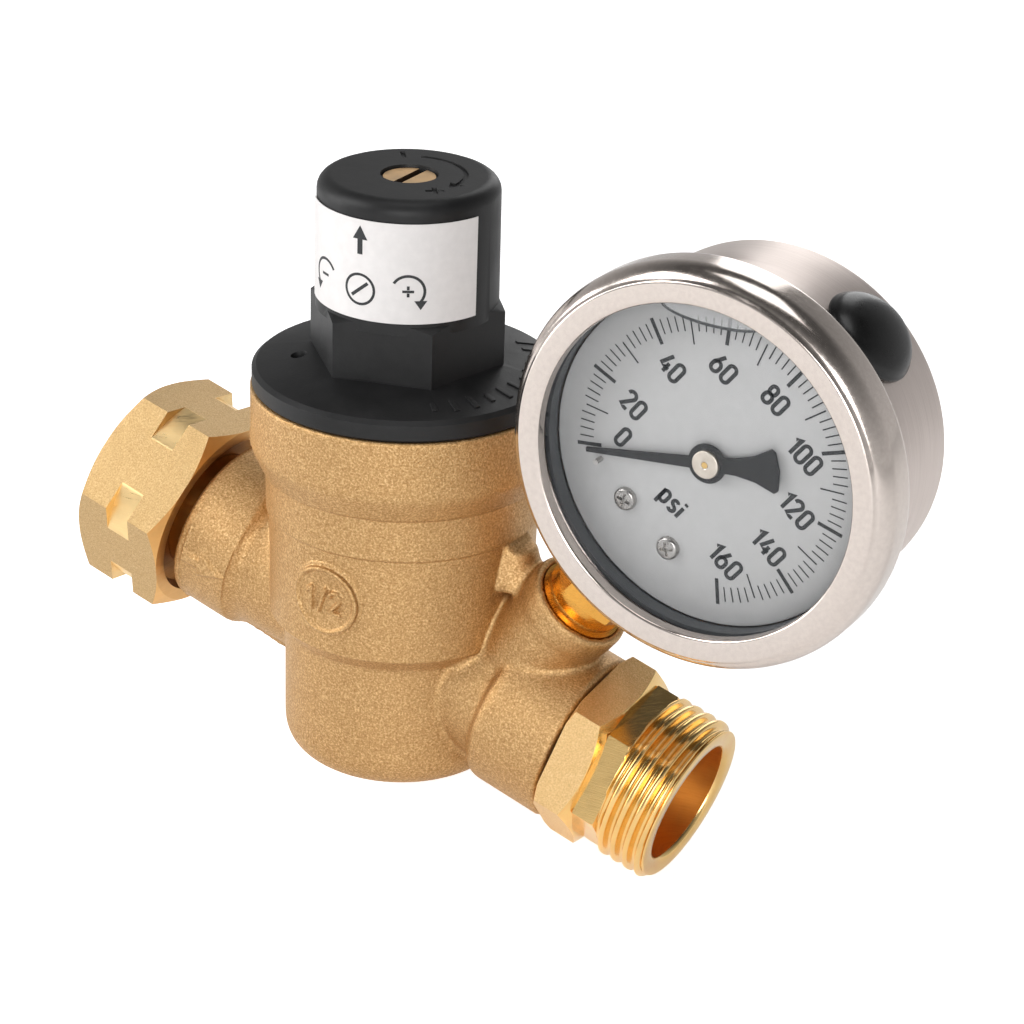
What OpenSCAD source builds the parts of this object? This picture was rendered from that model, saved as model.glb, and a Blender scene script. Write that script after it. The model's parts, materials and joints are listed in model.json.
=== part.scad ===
// Pressure reducing valve for hose-thread water lines, with a screwed-in cartridge
// and a liquid-filled gauge. Millimetres, +Z up along the cartridge axis. The origin
// is where the pipe axis crosses the cartridge axis; +X is the outlet side.

/* [Body casting] */
// Slope of the pipe axis below the horizontal towards the outlet, degrees
pipe_tilt = 15; // [10:1:18]
// Radius of the body under the cap flange
body_r = 23.75; // [23.5:0.25:25]
// Height of the face that the cap flange sits on
body_top = 42; // [42:0.5:44]
// Depth of the body's flat bottom below the origin
body_bottom = 20; // [20:0.5:22]
// Radius of the cup at the foot of the body
foot_r = 18.4; // [18.3:0.1:19]
// Radius of the two pipe bosses
boss_r = 13.75; // [13.5:0.25:14.5]

/* [Hose threads] */
// Outer radius of the male hose thread
hose_r = 13.45; // [13.4:0.01:13.5]
// Inner radius of the female hose thread
hose_bore_r = 12.35; // [12.3:0.01:12.4]
// Thread pitch, 11.5 turns an inch
hose_pitch = 2.209; // [2.2:0.001:2.22]
// Radius of the outlet bore
outlet_bore_r = 9.75; // [9:0.25:10]

/* [Cap] */
// Radius of the cap's round tower
tower_r = 13.75; // [13.5:0.25:14]
// Height of the top of the cap
cap_top = 75.4; // [75:0.1:77]
// Radius of the cap flange
flange_r = 23.5; // [23:0.25:24]

/* [Gauge] */
// Lean of the gauge stem away from the cartridge axis, degrees
gauge_lean = 38; // [36:1:40]
// Largest radius of the bezel
bezel_r = 29.6; // [29:0.1:30]
// Radius of the gauge case
case_r = 26.2; // [26:0.1:26.4]
// Distance from the body's gauge port to the middle of the dial
stem_rise = 45.25; // [45:0.25:46]

/* [Motion] */
// Stroke of the piston
piston_stroke = 2.5; // [2:0.1:2.5]
// Coils in the main spring
spring_turns = 6; // [5:0.5:7]

/* [Hidden] */

cast_brass = [0.72, 0.56, 0.34];
turned_brass = [0.85, 0.68, 0.30];
cap_black = [0.07, 0.07, 0.075];
rubber_black = [0.05, 0.05, 0.05];
stainless = [0.74, 0.72, 0.70];
spring_steel = [0.62, 0.63, 0.65];
acetal_white = [0.90, 0.90, 0.86];

eps = 0.01;
arc_steps = 6;
slide_gap = 0.05;       // radial running clearance of shafts and pistons
$fn = 64;

// Positions along the pipe axis, measured from the origin towards the outlet
nut_left = -53.8;
nut_right = -37.5;
nut_shoulder = -42;     // face of the lip that pulls on the tailpiece
inlet_face = -36;
outlet_face = 35.7;
adapter_hex = 36.2;     // outlet hex from here
adapter_collar = 42.6;  // polished collar from here
adapter_thread = 45.8;  // hose thread from here
adapter_end = 55.3;
nut_flats = 31.5;
adapter_flats = 27;
collar_flats = 23.8;
nut_turn = 20.5;        // rotation of each hexagon about the pipe axis, degrees
adapter_turn = 42;
cap_turn = 18;
pipe_thread_r = 10.4;   // half-inch pipe thread inside the body
pipe_bore_r = 7.5;

// Heights inside the cartridge
seat_lip = 7;
disc_open = seat_lip - piston_stroke - 0.1;  // top of the rubber disc at rest
piston_base = 22;
spring_foot = 28.9;
spring_head = 62;
spring_nut_h = 5;
shelf_z = 71.4;         // underside of the cap's top wall
cavity_r = 15.5;        // lower bore of the body
sleeve_bore_r = 17;     // upper bore of the body
gallery_r = 18.2;       // outlet gallery round the sleeve
piston_r = 14;
stem_r = 3;

// Gauge port on the body, and the middle of the dial
port = [32.95, 0, 14.65];
gauge_up = [sin(gauge_lean), 0, cos(gauge_lean)];
dial_centre = port + stem_rise * gauge_up;

// Depths along the dial's normal, from the stem axis towards the viewer
case_back = -5.5;
case_front = 14.5;
dial_z = 14.6;
dial_t = 0.6;
glass_z = 17.6;
bezel_front = 21.4;
pointer_z = 16;
movement_z = 6;         // face of the stem block that carries the movement
sector_pivot = [-6.3, -6.3];
sector_r = 7.55;
pinion_r = 1.25;
tube_r = 18.5;
plug_z = 4.8;
plug_turn = 4;          // the plug sits just past 12 o'clock, degrees

function arc(cx, cy, r, a0, a1, n = arc_steps) =
    [for (i = [0:n]) [cx + r * cos(a0 + (a1 - a0) * i / n), cy + r * sin(a0 + (a1 - a0) * i / n)]];

// Crest, flank and root points of a thread drawn as equal rings from z0 to z1
function ring_thread(crest, depth, z0, z1, pitch) =
    let (n = floor((z1 - z0) / pitch), land = pitch / 4)
    [for (i = [0:n - 1]) let (z = z0 + i * pitch)
        each [[crest, z], [crest, z + land], [crest - depth, z + 2 * land],
              [crest - depth, z + 3 * land]]];

module along_pipe(s = 0) rotate([0, 90 + pipe_tilt, 0]) translate([0, 0, s]) children();
module along_port(s = 0) translate(port) rotate([0, gauge_lean, 0]) translate([0, 0, s]) children();
module on_dial(z = 0) translate(dial_centre) rotate([0, gauge_lean, 0]) rotate([90, 0, 0])
    translate([0, 0, z]) children();
module tube(ro, ri, h) difference() {
    cylinder(r = ro, h = h);
    translate([0, 0, -1]) cylinder(r = ri, h = h + 2);
}
module oring(r, section) rotate_extrude() translate([r, 0]) circle(r = section, $fn = 24);
// Hexagonal bar with its corners turned off at 30 degrees at both ends
module hex_bar(flats, h, chamfer_low, chamfer_high) {
    corner = flats / 2 / cos(30);
    intersection() {
        cylinder(r = corner, h = h, $fn = 6);
        rotate_extrude() polygon([[0, 0], [corner - chamfer_low, 0],
            [corner + 0.1, (chamfer_low + 0.1) * tan(30)],
            [corner + 0.1, h - (chamfer_high + 0.1) * tan(30)], [corner - chamfer_high, h], [0, h]]);
    }
}

// ---------------------------------------------------------------- body casting
module body_barrel() rotate_extrude()
    polygon(concat([[0, -body_bottom]], arc(foot_r - 5, 5 - body_bottom, 5, -90, 0),
        [[foot_r, 1.8], [20.5, 4.4], [20.9, 19.6], [21.6, 21.4], [21.8, 28],
         [body_r, 32.5], [body_r, body_top], [0, body_top]]));

module inlet_boss() along_pipe(inlet_face) rotate_extrude()
    polygon([[0, 0], [boss_r - 0.6, 0], [boss_r, 0.6], [boss_r, 10], [12.3, 11.4], [12, 26], [0, 26]]);

module outlet_boss() along_pipe(6) rotate_extrude()
    polygon(concat([[0, 0], [11.5, 0], [11.5, 15]], arc(boss_r - 2, 18, 2, 260, 360),
        [[boss_r, 29.2], [boss_r - 0.5, outlet_face - 6], [0, outlet_face - 6]]));

module gauge_boss() {
    along_port(-25) cylinder(r = 8, h = 25);
    along_port(-4) rotate_extrude() polygon([[0, 0], [8.3, 0], [8.3, 3.4], [7.7, 4], [0, 4]]);
}

// Rib under the inlet boss and the cast lump between barrel and gauge boss
module casting_ribs() {
    translate([0, 4.5, 0]) rotate([90, 0, 0]) linear_extrude(9)
        polygon([[-15, -9.5], [-29.5, -5.2], [-29, 4], [-15, 4]]);
    translate([20.6, 0, 14]) cylinder(r1 = 5, r2 = 3.4, h = 6.5);
}

module size_emblem() difference() {
    intersection() {
        translate([0, -15, 13.4]) rotate([90, 0, 0]) cylinder(r = 5.4, h = 10);
        cylinder(r = body_r - 2.35, h = 30);
    }
    translate([0, -21, 13.4]) rotate([90, 0, 0]) cylinder(r = 4.5, h = 5);
}

module valve_body() color(cast_brass) difference() {
    union() {
        body_barrel();
        inlet_boss();
        outlet_boss();
        gauge_boss();
        casting_ribs();
        size_emblem();
    }
    // cartridge bores, from the cap thread down to the inlet cup
    translate([0, 0, 40.6]) cylinder(r = 19.7, h = 5);
    translate([0, 0, 32]) cylinder(r = 18.6, h = 20);
    translate([0, 0, 17]) cylinder(r = sleeve_bore_r, h = 20);
    translate([0, 0, 10]) cylinder(r = gallery_r, h = 7);
    translate([0, 0, 4 - body_bottom]) cylinder(r = cavity_r, h = 30);
    // inlet: thread, pipe bore, then a passage falling into the cup
    along_pipe(inlet_face - 1) cylinder(r = pipe_thread_r, h = 13);
    along_pipe(inlet_face) cylinder(r = pipe_bore_r, h = 16);
    translate([-21, 0, 3]) rotate([0, 142, 0]) cylinder(r = 4.6, h = 14);
    // outlet: thread, pipe bore, then a passage rising to the gallery
    along_pipe(23) cylinder(r = pipe_thread_r, h = 14);
    along_pipe(33.7) cylinder(r = 11.2, h = 4);
    along_pipe(20) cylinder(r = pipe_bore_r, h = 8);
    translate([24, 0, -6]) rotate([0, -20.5, 0]) cylinder(r = 3.6, h = 19.5);
    // gauge port with its machined face
    along_port(-14) cylinder(r = 6.5, h = 20);
    along_port(-2) cylinder(r = 7, h = 4);
    along_port(-26) cylinder(r = 2, h = 14);
}

// ---------------------------------------------------------------- inlet swivel
module inlet_tailpiece() color(turned_brass) along_pipe() rotate_extrude()
    polygon([[pipe_bore_r, -44], [12, -44], [12, nut_shoulder], [10, nut_shoulder], [10, -36.4],
        [pipe_thread_r - slide_gap, -35.8], [pipe_thread_r - slide_gap, -24.6], [10, -24.2], [pipe_bore_r, -24.2]]);

module inlet_nut() color(cast_brass) along_pipe(nut_left) difference() {
    length = nut_right - nut_left;
    corner = nut_flats / 2 / cos(30);
    rotate(nut_turn) hex_bar(nut_flats, length, 2.4, 2.4);
    // turned groove that only reaches the six corners
    translate([0, 0, 6.4]) tube(corner + 1, 16.3, 4.4);
    // female hose thread, lip and open mouth behind it
    rotate_extrude() polygon(concat([[0, -1], [14, -1], [14, 0], [hose_bore_r, 0.8], [hose_bore_r, 1.2]],
        ring_thread(hose_bore_r + 1.1, 1.1, 1.75, 6.4, hose_pitch),
        [[hose_bore_r, 6.4], [hose_bore_r + 0.4, 6.5], [hose_bore_r + 0.4, nut_shoulder - nut_left],
         [0, nut_shoulder - nut_left]]));
    cylinder(r = 10 + slide_gap, h = 20);
    translate([0, 0, length - 2.2]) cylinder(r = 14, h = 3);
}

module hose_washer() color(rubber_black) along_pipe(-46.6) tube(12.1, 8.6, 2.6);

module inlet_strainer() color(spring_steel) along_pipe(-46.6) difference() {
    union() {
        translate([0, 0, -0.4]) cylinder(r = 12.1, h = 0.4);
        cylinder(r = 6.6, h = 8);
        translate([0, 0, -0.2]) cylinder(r = 8.4, h = 1);
    }
    translate([0, 0, -1]) cylinder(r = 6.2, h = 8.6);
}

// ---------------------------------------------------------------- outlet
module outlet_adapter() color(turned_brass) difference() {
    union() {
        along_pipe(24.4) cylinder(r = pipe_thread_r - slide_gap, h = 8.6);
        along_pipe(33) cylinder(r = 9.4, h = 3.4);
        along_pipe(adapter_hex) rotate(adapter_turn)
            hex_bar(adapter_flats, adapter_collar - adapter_hex, 1.2, 1.8);
        along_pipe(adapter_collar) rotate(adapter_turn)
            hex_bar(collar_flats, adapter_thread - adapter_collar, 0.01, 0.6);
        along_pipe() rotate_extrude() polygon(concat([[0, 40], [12.1, 40]],
            ring_thread(hose_r, 1.25, adapter_thread + 0.3, adapter_end, hose_pitch),
            [[hose_r - 0.3, adapter_end - 0.55], [hose_r - 0.9, adapter_end], [0, adapter_end]]));
    }
    along_pipe(20) cylinder(r = pipe_bore_r, h = 40);
    along_pipe(42) cylinder(r = outlet_bore_r, h = 20);
    along_pipe(adapter_end - 0.5) cylinder(r1 = outlet_bore_r, r2 = outlet_bore_r + 0.6, h = 0.51);
}

module outlet_oring() color(rubber_black) along_pipe(34.7) oring(10.3, 0.85);

// ---------------------------------------------------------------- cap and screw
module cap_outside() {
    // flange with a slightly coned top and a broken edge
    rotate_extrude() polygon([[0, body_top], [flange_r - 0.4, body_top], [flange_r, body_top + 0.4],
        [flange_r, body_top + 2.7], [flange_r - 0.7, body_top + 3.3], [15, 47], [0, 47]]);
    translate([0, 0, 46]) rotate(cap_turn) hex_bar(26.5, 10.4, 0.01, 1.6);
    rotate_extrude() polygon(concat([[0, 55], [tower_r + 0.15, 55]],
        arc(tower_r - 2.2, cap_top - 2.2, 2.2, 0, 90), [[0, cap_top]]));
    // spigot that screws into the body, drawn with equal thread rings
    rotate_extrude() polygon(concat([[0, 32.4]],
        ring_thread(18.5, 0.6, 32.4, 41.4, 1.5), [[17.6, 41.4], [17.6, body_top + 1], [0, body_top + 1]]));
}

module cartridge_cap() color(cap_black) difference() {
    cap_outside();
    translate([0, 0, 30]) cylinder(r = 15.2, h = 7);
    translate([0, 0, 30]) cylinder(r = 11.6, h = shelf_z - 30);
    // keyways that stop the spring nut turning
    for (a = [0, 180]) rotate(a) translate([10, -1.6, 50]) cube([2.6, 3.2, shelf_z - 50]);
    translate([0, 0, 60]) cylinder(r = 4, h = 20);
    translate([0, 0, cap_top - 0.8]) cylinder(r = 4.35, h = 3);
    // vent
    translate([-12.9, -10, 44.5]) cylinder(r = 1.25, h = 5);
    // level mark on the top: minus, plus and a curved arrow, sunk 0.3
    translate([-5.9, 7, cap_top + 0.2]) rotate(40) cube([0.75, 2.8, 1], center = true);
    translate([7.35, -4.3, cap_top + 0.2]) for (a = [40, 130]) rotate(a) cube([0.75, 2.8, 1], center = true);
    translate([0, 0, cap_top - 0.3]) rotate(-2) rotate_extrude(angle = 114)
        translate([8, 0]) square([0.75, 1]);
    translate([0, 0, cap_top - 0.3]) linear_extrude(1) polygon([[7.1, 0.2], [9.6, 0.2], [8.2, -1.9]]);
}

module cap_label() color("white") intersection() {
    translate([0, 0, 56.9]) tube(tower_r + 0.27, tower_r + 0.16, 15.4);
    rotate(-10) mirror([0, 1, 0]) rotate_extrude(angle = 130) square([20, 80]);
}

module cap_gasket() color(rubber_black) translate([0, 0, 40.7]) tube(19.6, 18.62, 1.2);

module adjusting_screw() color(turned_brass) difference() {
    union() {
        translate([0, 0, shelf_z - 2.2]) cylinder(r = 6.5, h = 1.7);
        translate([0, 0, shelf_z - 0.6]) cylinder(r = 4 - slide_gap, h = 4.2);
        translate([0, 0, 46]) cylinder(r = 3, h = shelf_z - 47.5);
    }
    rotate(92) translate([-5, -0.65, shelf_z + 2.4]) cube([10, 1.3, 3]);
    translate([0, 0, shelf_z + 1.2]) tube(6, 3.2, 1.2);
}

module screw_oring() color(rubber_black) translate([0, 0, shelf_z + 1.8]) oring(3.6, 0.36);

module thrust_washer() color(acetal_white) translate([0, 0, shelf_z - 0.48]) tube(6.5, 4, 0.46);

module spring_nut() color(turned_brass) difference() {
    translate([0, 0, spring_head]) union() {
        cylinder(r = 10.9, h = spring_nut_h);
        for (a = [0, 180]) rotate(a) translate([9, -1.45, 0]) cube([3.2, 2.9, spring_nut_h]);
    }
    cylinder(r = 3 + slide_gap, h = 80);
    translate([0, 0, spring_head - 1]) cylinder(r = 6, h = 2);
}

// Coil spring as one swept tube of wire
wire_r = 1.2;
coil_r = 9;
coil_sides = 6;
rings_a_turn = 12;
module main_spring() color(spring_steel) {
    n = rings_a_turn * spring_turns;
    rise = spring_head - spring_foot - 2 * wire_r;
    ring = [for (i = [0:n]) let (a = 360 * i / rings_a_turn, z = spring_foot + wire_r + rise * i / n)
        for (k = [0:coil_sides - 1]) let (b = 360 * k / coil_sides, r = coil_r + wire_r * cos(b))
            [r * cos(a), r * sin(a), z + wire_r * sin(b)]];
    sides = [for (i = [0:n - 1]) for (k = [0:coil_sides - 1]) let (j = (k + 1) % coil_sides)
        [i * coil_sides + k, i * coil_sides + j, (i + 1) * coil_sides + j, (i + 1) * coil_sides + k]];
    ends = [[for (k = [coil_sides - 1:-1:0]) k], [for (k = [0:coil_sides - 1]) n * coil_sides + k]];
    mirror([0, 1, 0]) polyhedron(ring, [for (f = concat(sides, ends)) [for (i = [len(f) - 1:-1:0]) f[i]]]);
}

// ---------------------------------------------------------------- cartridge
module spring_washer() color(spring_steel) translate([0, 0, spring_foot - 0.8]) tube(11, 4.2, 0.8);

module piston() color(turned_brass) difference() {
    translate([0, 0, piston_base]) cylinder(r = piston_r - slide_gap, h = 6.1);
    translate([0, 0, piston_base + 2]) tube(20, 11.9, 2.4);
    translate([0, 0, 10]) cylinder(r = stem_r, h = 30);
    translate([0, 0, piston_base + 5]) cylinder(r = 4.2, h = 3);
}

module piston_oring() color(rubber_black) translate([0, 0, piston_base + 3.2]) oring(12.97, 0.97);

module piston_stem() color(spring_steel) {
    translate([0, 0, -11]) cylinder(r = stem_r - 1, h = 12.5);
    translate([0, 0, 0]) cylinder(r = stem_r, h = 27);
    translate([0, 0, 27]) cylinder(r = 4.1, h = 1.9);
}

module disc_holder() color(turned_brass) translate([0, 0, disc_open - 3.2]) difference() {
    cylinder(r = 8.6, h = 3);
    translate([0, 0, 1]) cylinder(r = 7.6, h = 3);
    translate([0, 0, -1]) cylinder(r = stem_r, h = 5);
}

module seat_disc() color(rubber_black) translate([0, 0, disc_open - 2.2]) tube(7.6, stem_r, 2.2);

module disc_nut() color(spring_steel) translate([0, 0, disc_open - 4.3]) difference() {
    cylinder(r = 5.2, h = 1.1, $fn = 6);
    translate([0, 0, -1]) cylinder(r = stem_r, h = 4);
}

module cartridge_sleeve() color(turned_brass) difference() {
    union() {
        translate([0, 0, 10]) cylinder(r = sleeve_bore_r - slide_gap, h = 7.2);
        translate([0, 0, 17.2]) cylinder(r = sleeve_bore_r - slide_gap, h = 15);
        translate([0, 0, 4.5]) cylinder(r = cavity_r - slide_gap, h = 6);
    }
    translate([0, 0, 20]) cylinder(r = piston_r, h = 20);
    translate([0, 0, 11.5]) cylinder(r = 12.5, h = 10);
    translate([0, 0, 3]) cylinder(r = 5.5, h = 20);
    // cup under the seat, leaving a raised lip
    translate([0, 0, 3]) cylinder(r = 12, h = seat_lip - 3);
    translate([0, 0, seat_lip - 0.5]) tube(12, 6.5, 1.3);
    // groove and windows into the outlet gallery
    translate([0, 0, 11]) tube(20, 15.2, 5);
    for (a = [30:60:330]) rotate(a) translate([10, 0, 13.5]) rotate([0, 90, 0]) cylinder(r = 2.3, h = 8);
    // o-ring grooves
    translate([0, 0, 24.5]) tube(20, 15.6, 2);
    translate([0, 0, 6.6]) tube(20, 14.2, 2);
}

module sleeve_upper_oring() color(rubber_black) translate([0, 0, 25.5]) oring(16.3, 0.68);
module sleeve_lower_oring() color(rubber_black) translate([0, 0, 7.6]) oring(14.85, 0.63);

module cartridge_cage() color(acetal_white) difference() {
    union() {
        translate([0, 0, 2.6]) tube(14.6, 10.4, 1.9);
        for (a = [45:90:315]) rotate(a) translate([11.6, 0, -11]) cylinder(r = 1.3, h = 14, $fn = 24);
        translate([0, 0, -13]) cylinder(r = 13.4, h = 2.6);
        translate([0, 0, -13]) cylinder(r = 4.6, h = 5.5);
    }
    translate([0, 0, -11.5]) cylinder(r = stem_r - 1 + slide_gap, h = 6);
}

module cartridge_strainer() color(spring_steel) translate([0, 0, -10.4]) tube(13.4, 13.05, 13);

// ---------------------------------------------------------------- gauge
module gauge_stem() color(turned_brass) difference() {
    union() {
        along_port(-10) cylinder(r = 6.4, h = 11);
        along_port(-1.1) cylinder(r = 6.9, h = 1);
        along_port(0.5) cylinder(r = 5.6, h = 4);
        along_port(4) rotate(15) hex_bar(14, 9, 1, 1);
        along_port(12) cylinder(r = 5.4, h = stem_rise - case_r - 12 + 2);
        on_dial(-4.2) translate([-6, -case_r + 1.7, 0]) cube([12, 15, movement_z + 4.2]);
    }
    // notch that takes the open end of the bent tube
    on_dial() rotate(-72) translate([tube_r - 1.3, 0, -3.2]) cube([2.6, 5, 6.4]);
    along_port(-11) cylinder(r = 2, h = 35);
}

module gauge_seal_ring() color(rubber_black) along_port(-1.95) tube(6.95, 6.42, 0.8);

module gauge_case() color(stainless) on_dial() difference() {
    rotate_extrude() polygon(concat([[0, case_back]], arc(case_r - 1.5, case_back + 1.5, 1.5, -90, 0),
        [[case_r, case_front], [0, case_front]]));
    translate([0, 0, case_back + 0.8]) cylinder(r = case_r - 0.8, h = 40);
    rotate([90, 0, 0]) translate([0, 0, 10]) cylinder(r = 5.45, h = 30);
    rotate(-plug_turn) rotate([-90, 0, 0]) translate([0, -plug_z, 10]) cylinder(r = 4.2, h = 30);
}

module gauge_bezel() color(stainless) on_dial() rotate_extrude()
    polygon(concat([[case_r + 0.02, case_front - 1.5], [27.6, case_front - 1.5]],
        arc(bezel_r - 2.2, 16.2, 2.2, -70, 0, 4), arc(bezel_r - 2.9, bezel_front - 2.9, 2.9, 0, 90),
        [[25.2, bezel_front], [24.4, bezel_front - 0.6], [24.4, glass_z + 1.9], [26.8, glass_z + 1.9],
         [26.8, case_front + 0.2], [case_r + 0.02, case_front + 0.2]]));

module gauge_window() color([0.8, 0.85, 0.88, 0.3]) on_dial(glass_z) cylinder(r = 26.7, h = 1.8);
module bezel_gasket() color(rubber_black) on_dial(case_front + 0.8) tube(26.7, 24.6, glass_z - case_front - 0.9);

module gauge_dial() color([0.80, 0.81, 0.82]) on_dial(dial_z) difference() {
    cylinder(r = 24.5, h = dial_t);
    translate([0, 0, -1]) cylinder(r = 1.6, h = 3);
    for (x = [-4.6, 4.6]) translate([x, -15.2, -1]) cylinder(r = 0.75, h = 3);
    translate([-11.1, -14, -1]) cylinder(r = 0.4, h = 3);
}

module dial_screws() color(spring_steel) for (x = [-4.6, 4.6]) on_dial() translate([x, -15.2, 0]) {
    translate([0, 0, movement_z]) cylinder(r = 1.5, h = dial_z - movement_z);
    translate([0, 0, dial_z - 0.1]) cylinder(r = 0.7, h = 1);
    translate([0, 0, dial_z + dial_t]) difference() {
        cylinder(r = 1.75, h = 0.7);
        for (a = [0, 90]) rotate(a) translate([-1.05, -0.18, 0.3]) cube([2.1, 0.36, 1]);
    }
}

module stop_pin() color(spring_steel) on_dial(dial_z) translate([-11.1, -14, 0]) cylinder(r = 0.4, h = 2.1);

module pointer() color(cap_black) on_dial(pointer_z) rotate(1.3) difference() {
    linear_extrude(0.5) union() {
        rotate(135) polygon([[-0.35, 19.4], [0.35, 19.4], [0.95, 0], [-0.95, 0]]);
        rotate(-45) polygon([[-1.1, 0], [1.1, 0], [1.25, 4.4], [1.9, 7.4], [3.2, 10.2], [2.8, 10.8],
            [0, 11.2], [-2.8, 10.8], [-3.2, 10.2], [-1.9, 7.4], [-1.25, 4.4]]);
        circle(r = 2.9);
    }
    translate([0, 0, -1]) cylinder(r = 0.62, h = 3);
}

module pointer_hub() color(spring_steel) on_dial(pointer_z + 0.5) tube(2.1, 0.45, 0.45);

module pinion_shaft() color(turned_brass) on_dial() {
    translate([0, 0, 6.2]) cylinder(r = 0.6, h = pointer_z - 6.2 + 0.5);
    translate([0, 0, pointer_z + 0.5]) cylinder(r = 0.45, h = 0.55);
    translate([0, 0, 8]) for (a = [0:45:315]) rotate(a) translate([0, -0.15, 0]) cube([pinion_r, 0.3, 1.6]);
    translate([0, 0, 8]) cylinder(r = 0.9, h = 1.6);
}

// Toothed sector on its own pivot, with a tail that the link pulls
module sector_gear() color(turned_brass) on_dial(8.2) translate(sector_pivot) difference() {
    union() {
        rotate(28) intersection() {
            difference() {
                cylinder(r = sector_r, h = 1);
                for (a = [2:4:60]) rotate(a) translate([sector_r - 0.5, -0.12, -1]) cube([1, 0.24, 3]);
            }
            rotate_extrude(angle = 62) square([20, 5]);
        }
        cylinder(r = 1.8, h = 1);
        rotate(225) translate([0, -0.8, 0]) cube([4.6, 1.6, 1]);
        rotate(225) translate([4.5, 0, 0]) cylinder(r = 1.1, h = 1, $fn = 24);
    }
    translate([0, 0, -1]) cylinder(r = 0.6 - eps, h = 3);
}

module sector_shaft() color(spring_steel) on_dial(6.2) translate(sector_pivot)
    cylinder(r = 0.6 - eps, h = 6.6);

module hairspring() color(turned_brass) on_dial(10.4) for (i = [0:3])
    tube(1.3 + i * 0.6, 1.1 + i * 0.6, 0.5);

module movement_link() color(spring_steel) on_dial(9.4) translate(sector_pivot)
    rotate(225) translate([4.5, 0, 0]) rotate(-62) difference() {
        union() {
            cylinder(r = 0.9, h = 0.4, $fn = 24);
            translate([0, -0.5, 0]) cube([9.2, 1, 0.4]);
            translate([9.2, 0, 0]) cylinder(r = 0.9, h = 0.4, $fn = 24);
        }
        translate([9.2, 0, -1]) cylinder(r = 0.4, h = 3, $fn = 24);
    }

module movement_plate() difference() {
    linear_extrude(0.9) polygon([[-9, -11], [6, -11], [6, -8], [3.5, 4], [-3.5, 4], [-9, -4]]);
    translate([0, 0, -1]) cylinder(r = 0.6 + slide_gap, h = 4);
    translate([sector_pivot.x, sector_pivot.y, -1]) cylinder(r = 0.6 + slide_gap, h = 4);
}
module movement_rear_plate() color(turned_brass) on_dial(movement_z) movement_plate();
module movement_front_plate() color(turned_brass) on_dial(11.4) movement_plate();
module movement_posts() color(turned_brass) for (p = [[4.6, -9.6], [-1.5, -9.9], [2.6, 3]])
    on_dial(movement_z + 0.9) translate(p) cylinder(r = 0.7, h = 11.4 - movement_z - 0.9, $fn = 24);

// Flattened tube bent round the dial centre, from the stem block to its closed tip
module bourdon_tube() color(turned_brass) on_dial() rotate(-72) rotate_extrude(angle = 262)
    translate([tube_r, 0]) polygon(concat(arc(0, 1.9, 1.1, 0, 180), arc(0, -1.9, 1.1, 180, 360)));

module tube_tip() color(turned_brass) on_dial() rotate(-72 + 262) {
    translate([tube_r - 1.6, 0, -3.2]) cube([3.2, 2.4, 6.4]);
    translate([tube_r - 1.6, 0.6, 3.2]) cube([1.4, 1.4, 3.4]);
}

module fill_plug() color(rubber_black) on_dial(plug_z) rotate(-plug_turn) rotate([-90, 0, 0]) rotate_extrude()
    polygon(concat([[0, case_r - 2.6], [4.9, case_r - 2.6], [4.9, case_r - 1.6], [4.15, case_r - 1.2],
        [4.15, case_r + 0.05], [6.6, case_r + 0.05], [6.9, case_r + 0.6]],
        [for (i = [1:arc_steps]) let (a = 90 * i / arc_steps)
            [6.9 * cos(a), case_r + 0.6 + 2.6 * sin(a)]]));

valve_body();
inlet_tailpiece();
inlet_nut();
hose_washer();
inlet_strainer();
outlet_adapter();
outlet_oring();
cartridge_cap();
cap_label();
cap_gasket();
adjusting_screw();
screw_oring();
thrust_washer();
spring_nut();
main_spring();
spring_washer();
piston();
piston_oring();
piston_stem();
seat_disc();
disc_holder();
disc_nut();
cartridge_sleeve();
sleeve_upper_oring();
sleeve_lower_oring();
cartridge_cage();
cartridge_strainer();
gauge_stem();
gauge_seal_ring();
gauge_case();
gauge_bezel();
bezel_gasket();
gauge_window();
gauge_dial();
dial_screws();
stop_pin();
pointer();
pointer_hub();
pinion_shaft();
sector_gear();
sector_shaft();
hairspring();
movement_link();
movement_rear_plate();
movement_front_plate();
movement_posts();
bourdon_tube();
tube_tip();
fill_plug();
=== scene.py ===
"""Looks for the pressure reducing valve: every visible surface is built or finished here,
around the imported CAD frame. Lengths are in millimetres times MM, so Blender sees metres."""
import json
import math

import bmesh
import bpy
from mathutils import Matrix, Vector


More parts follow.
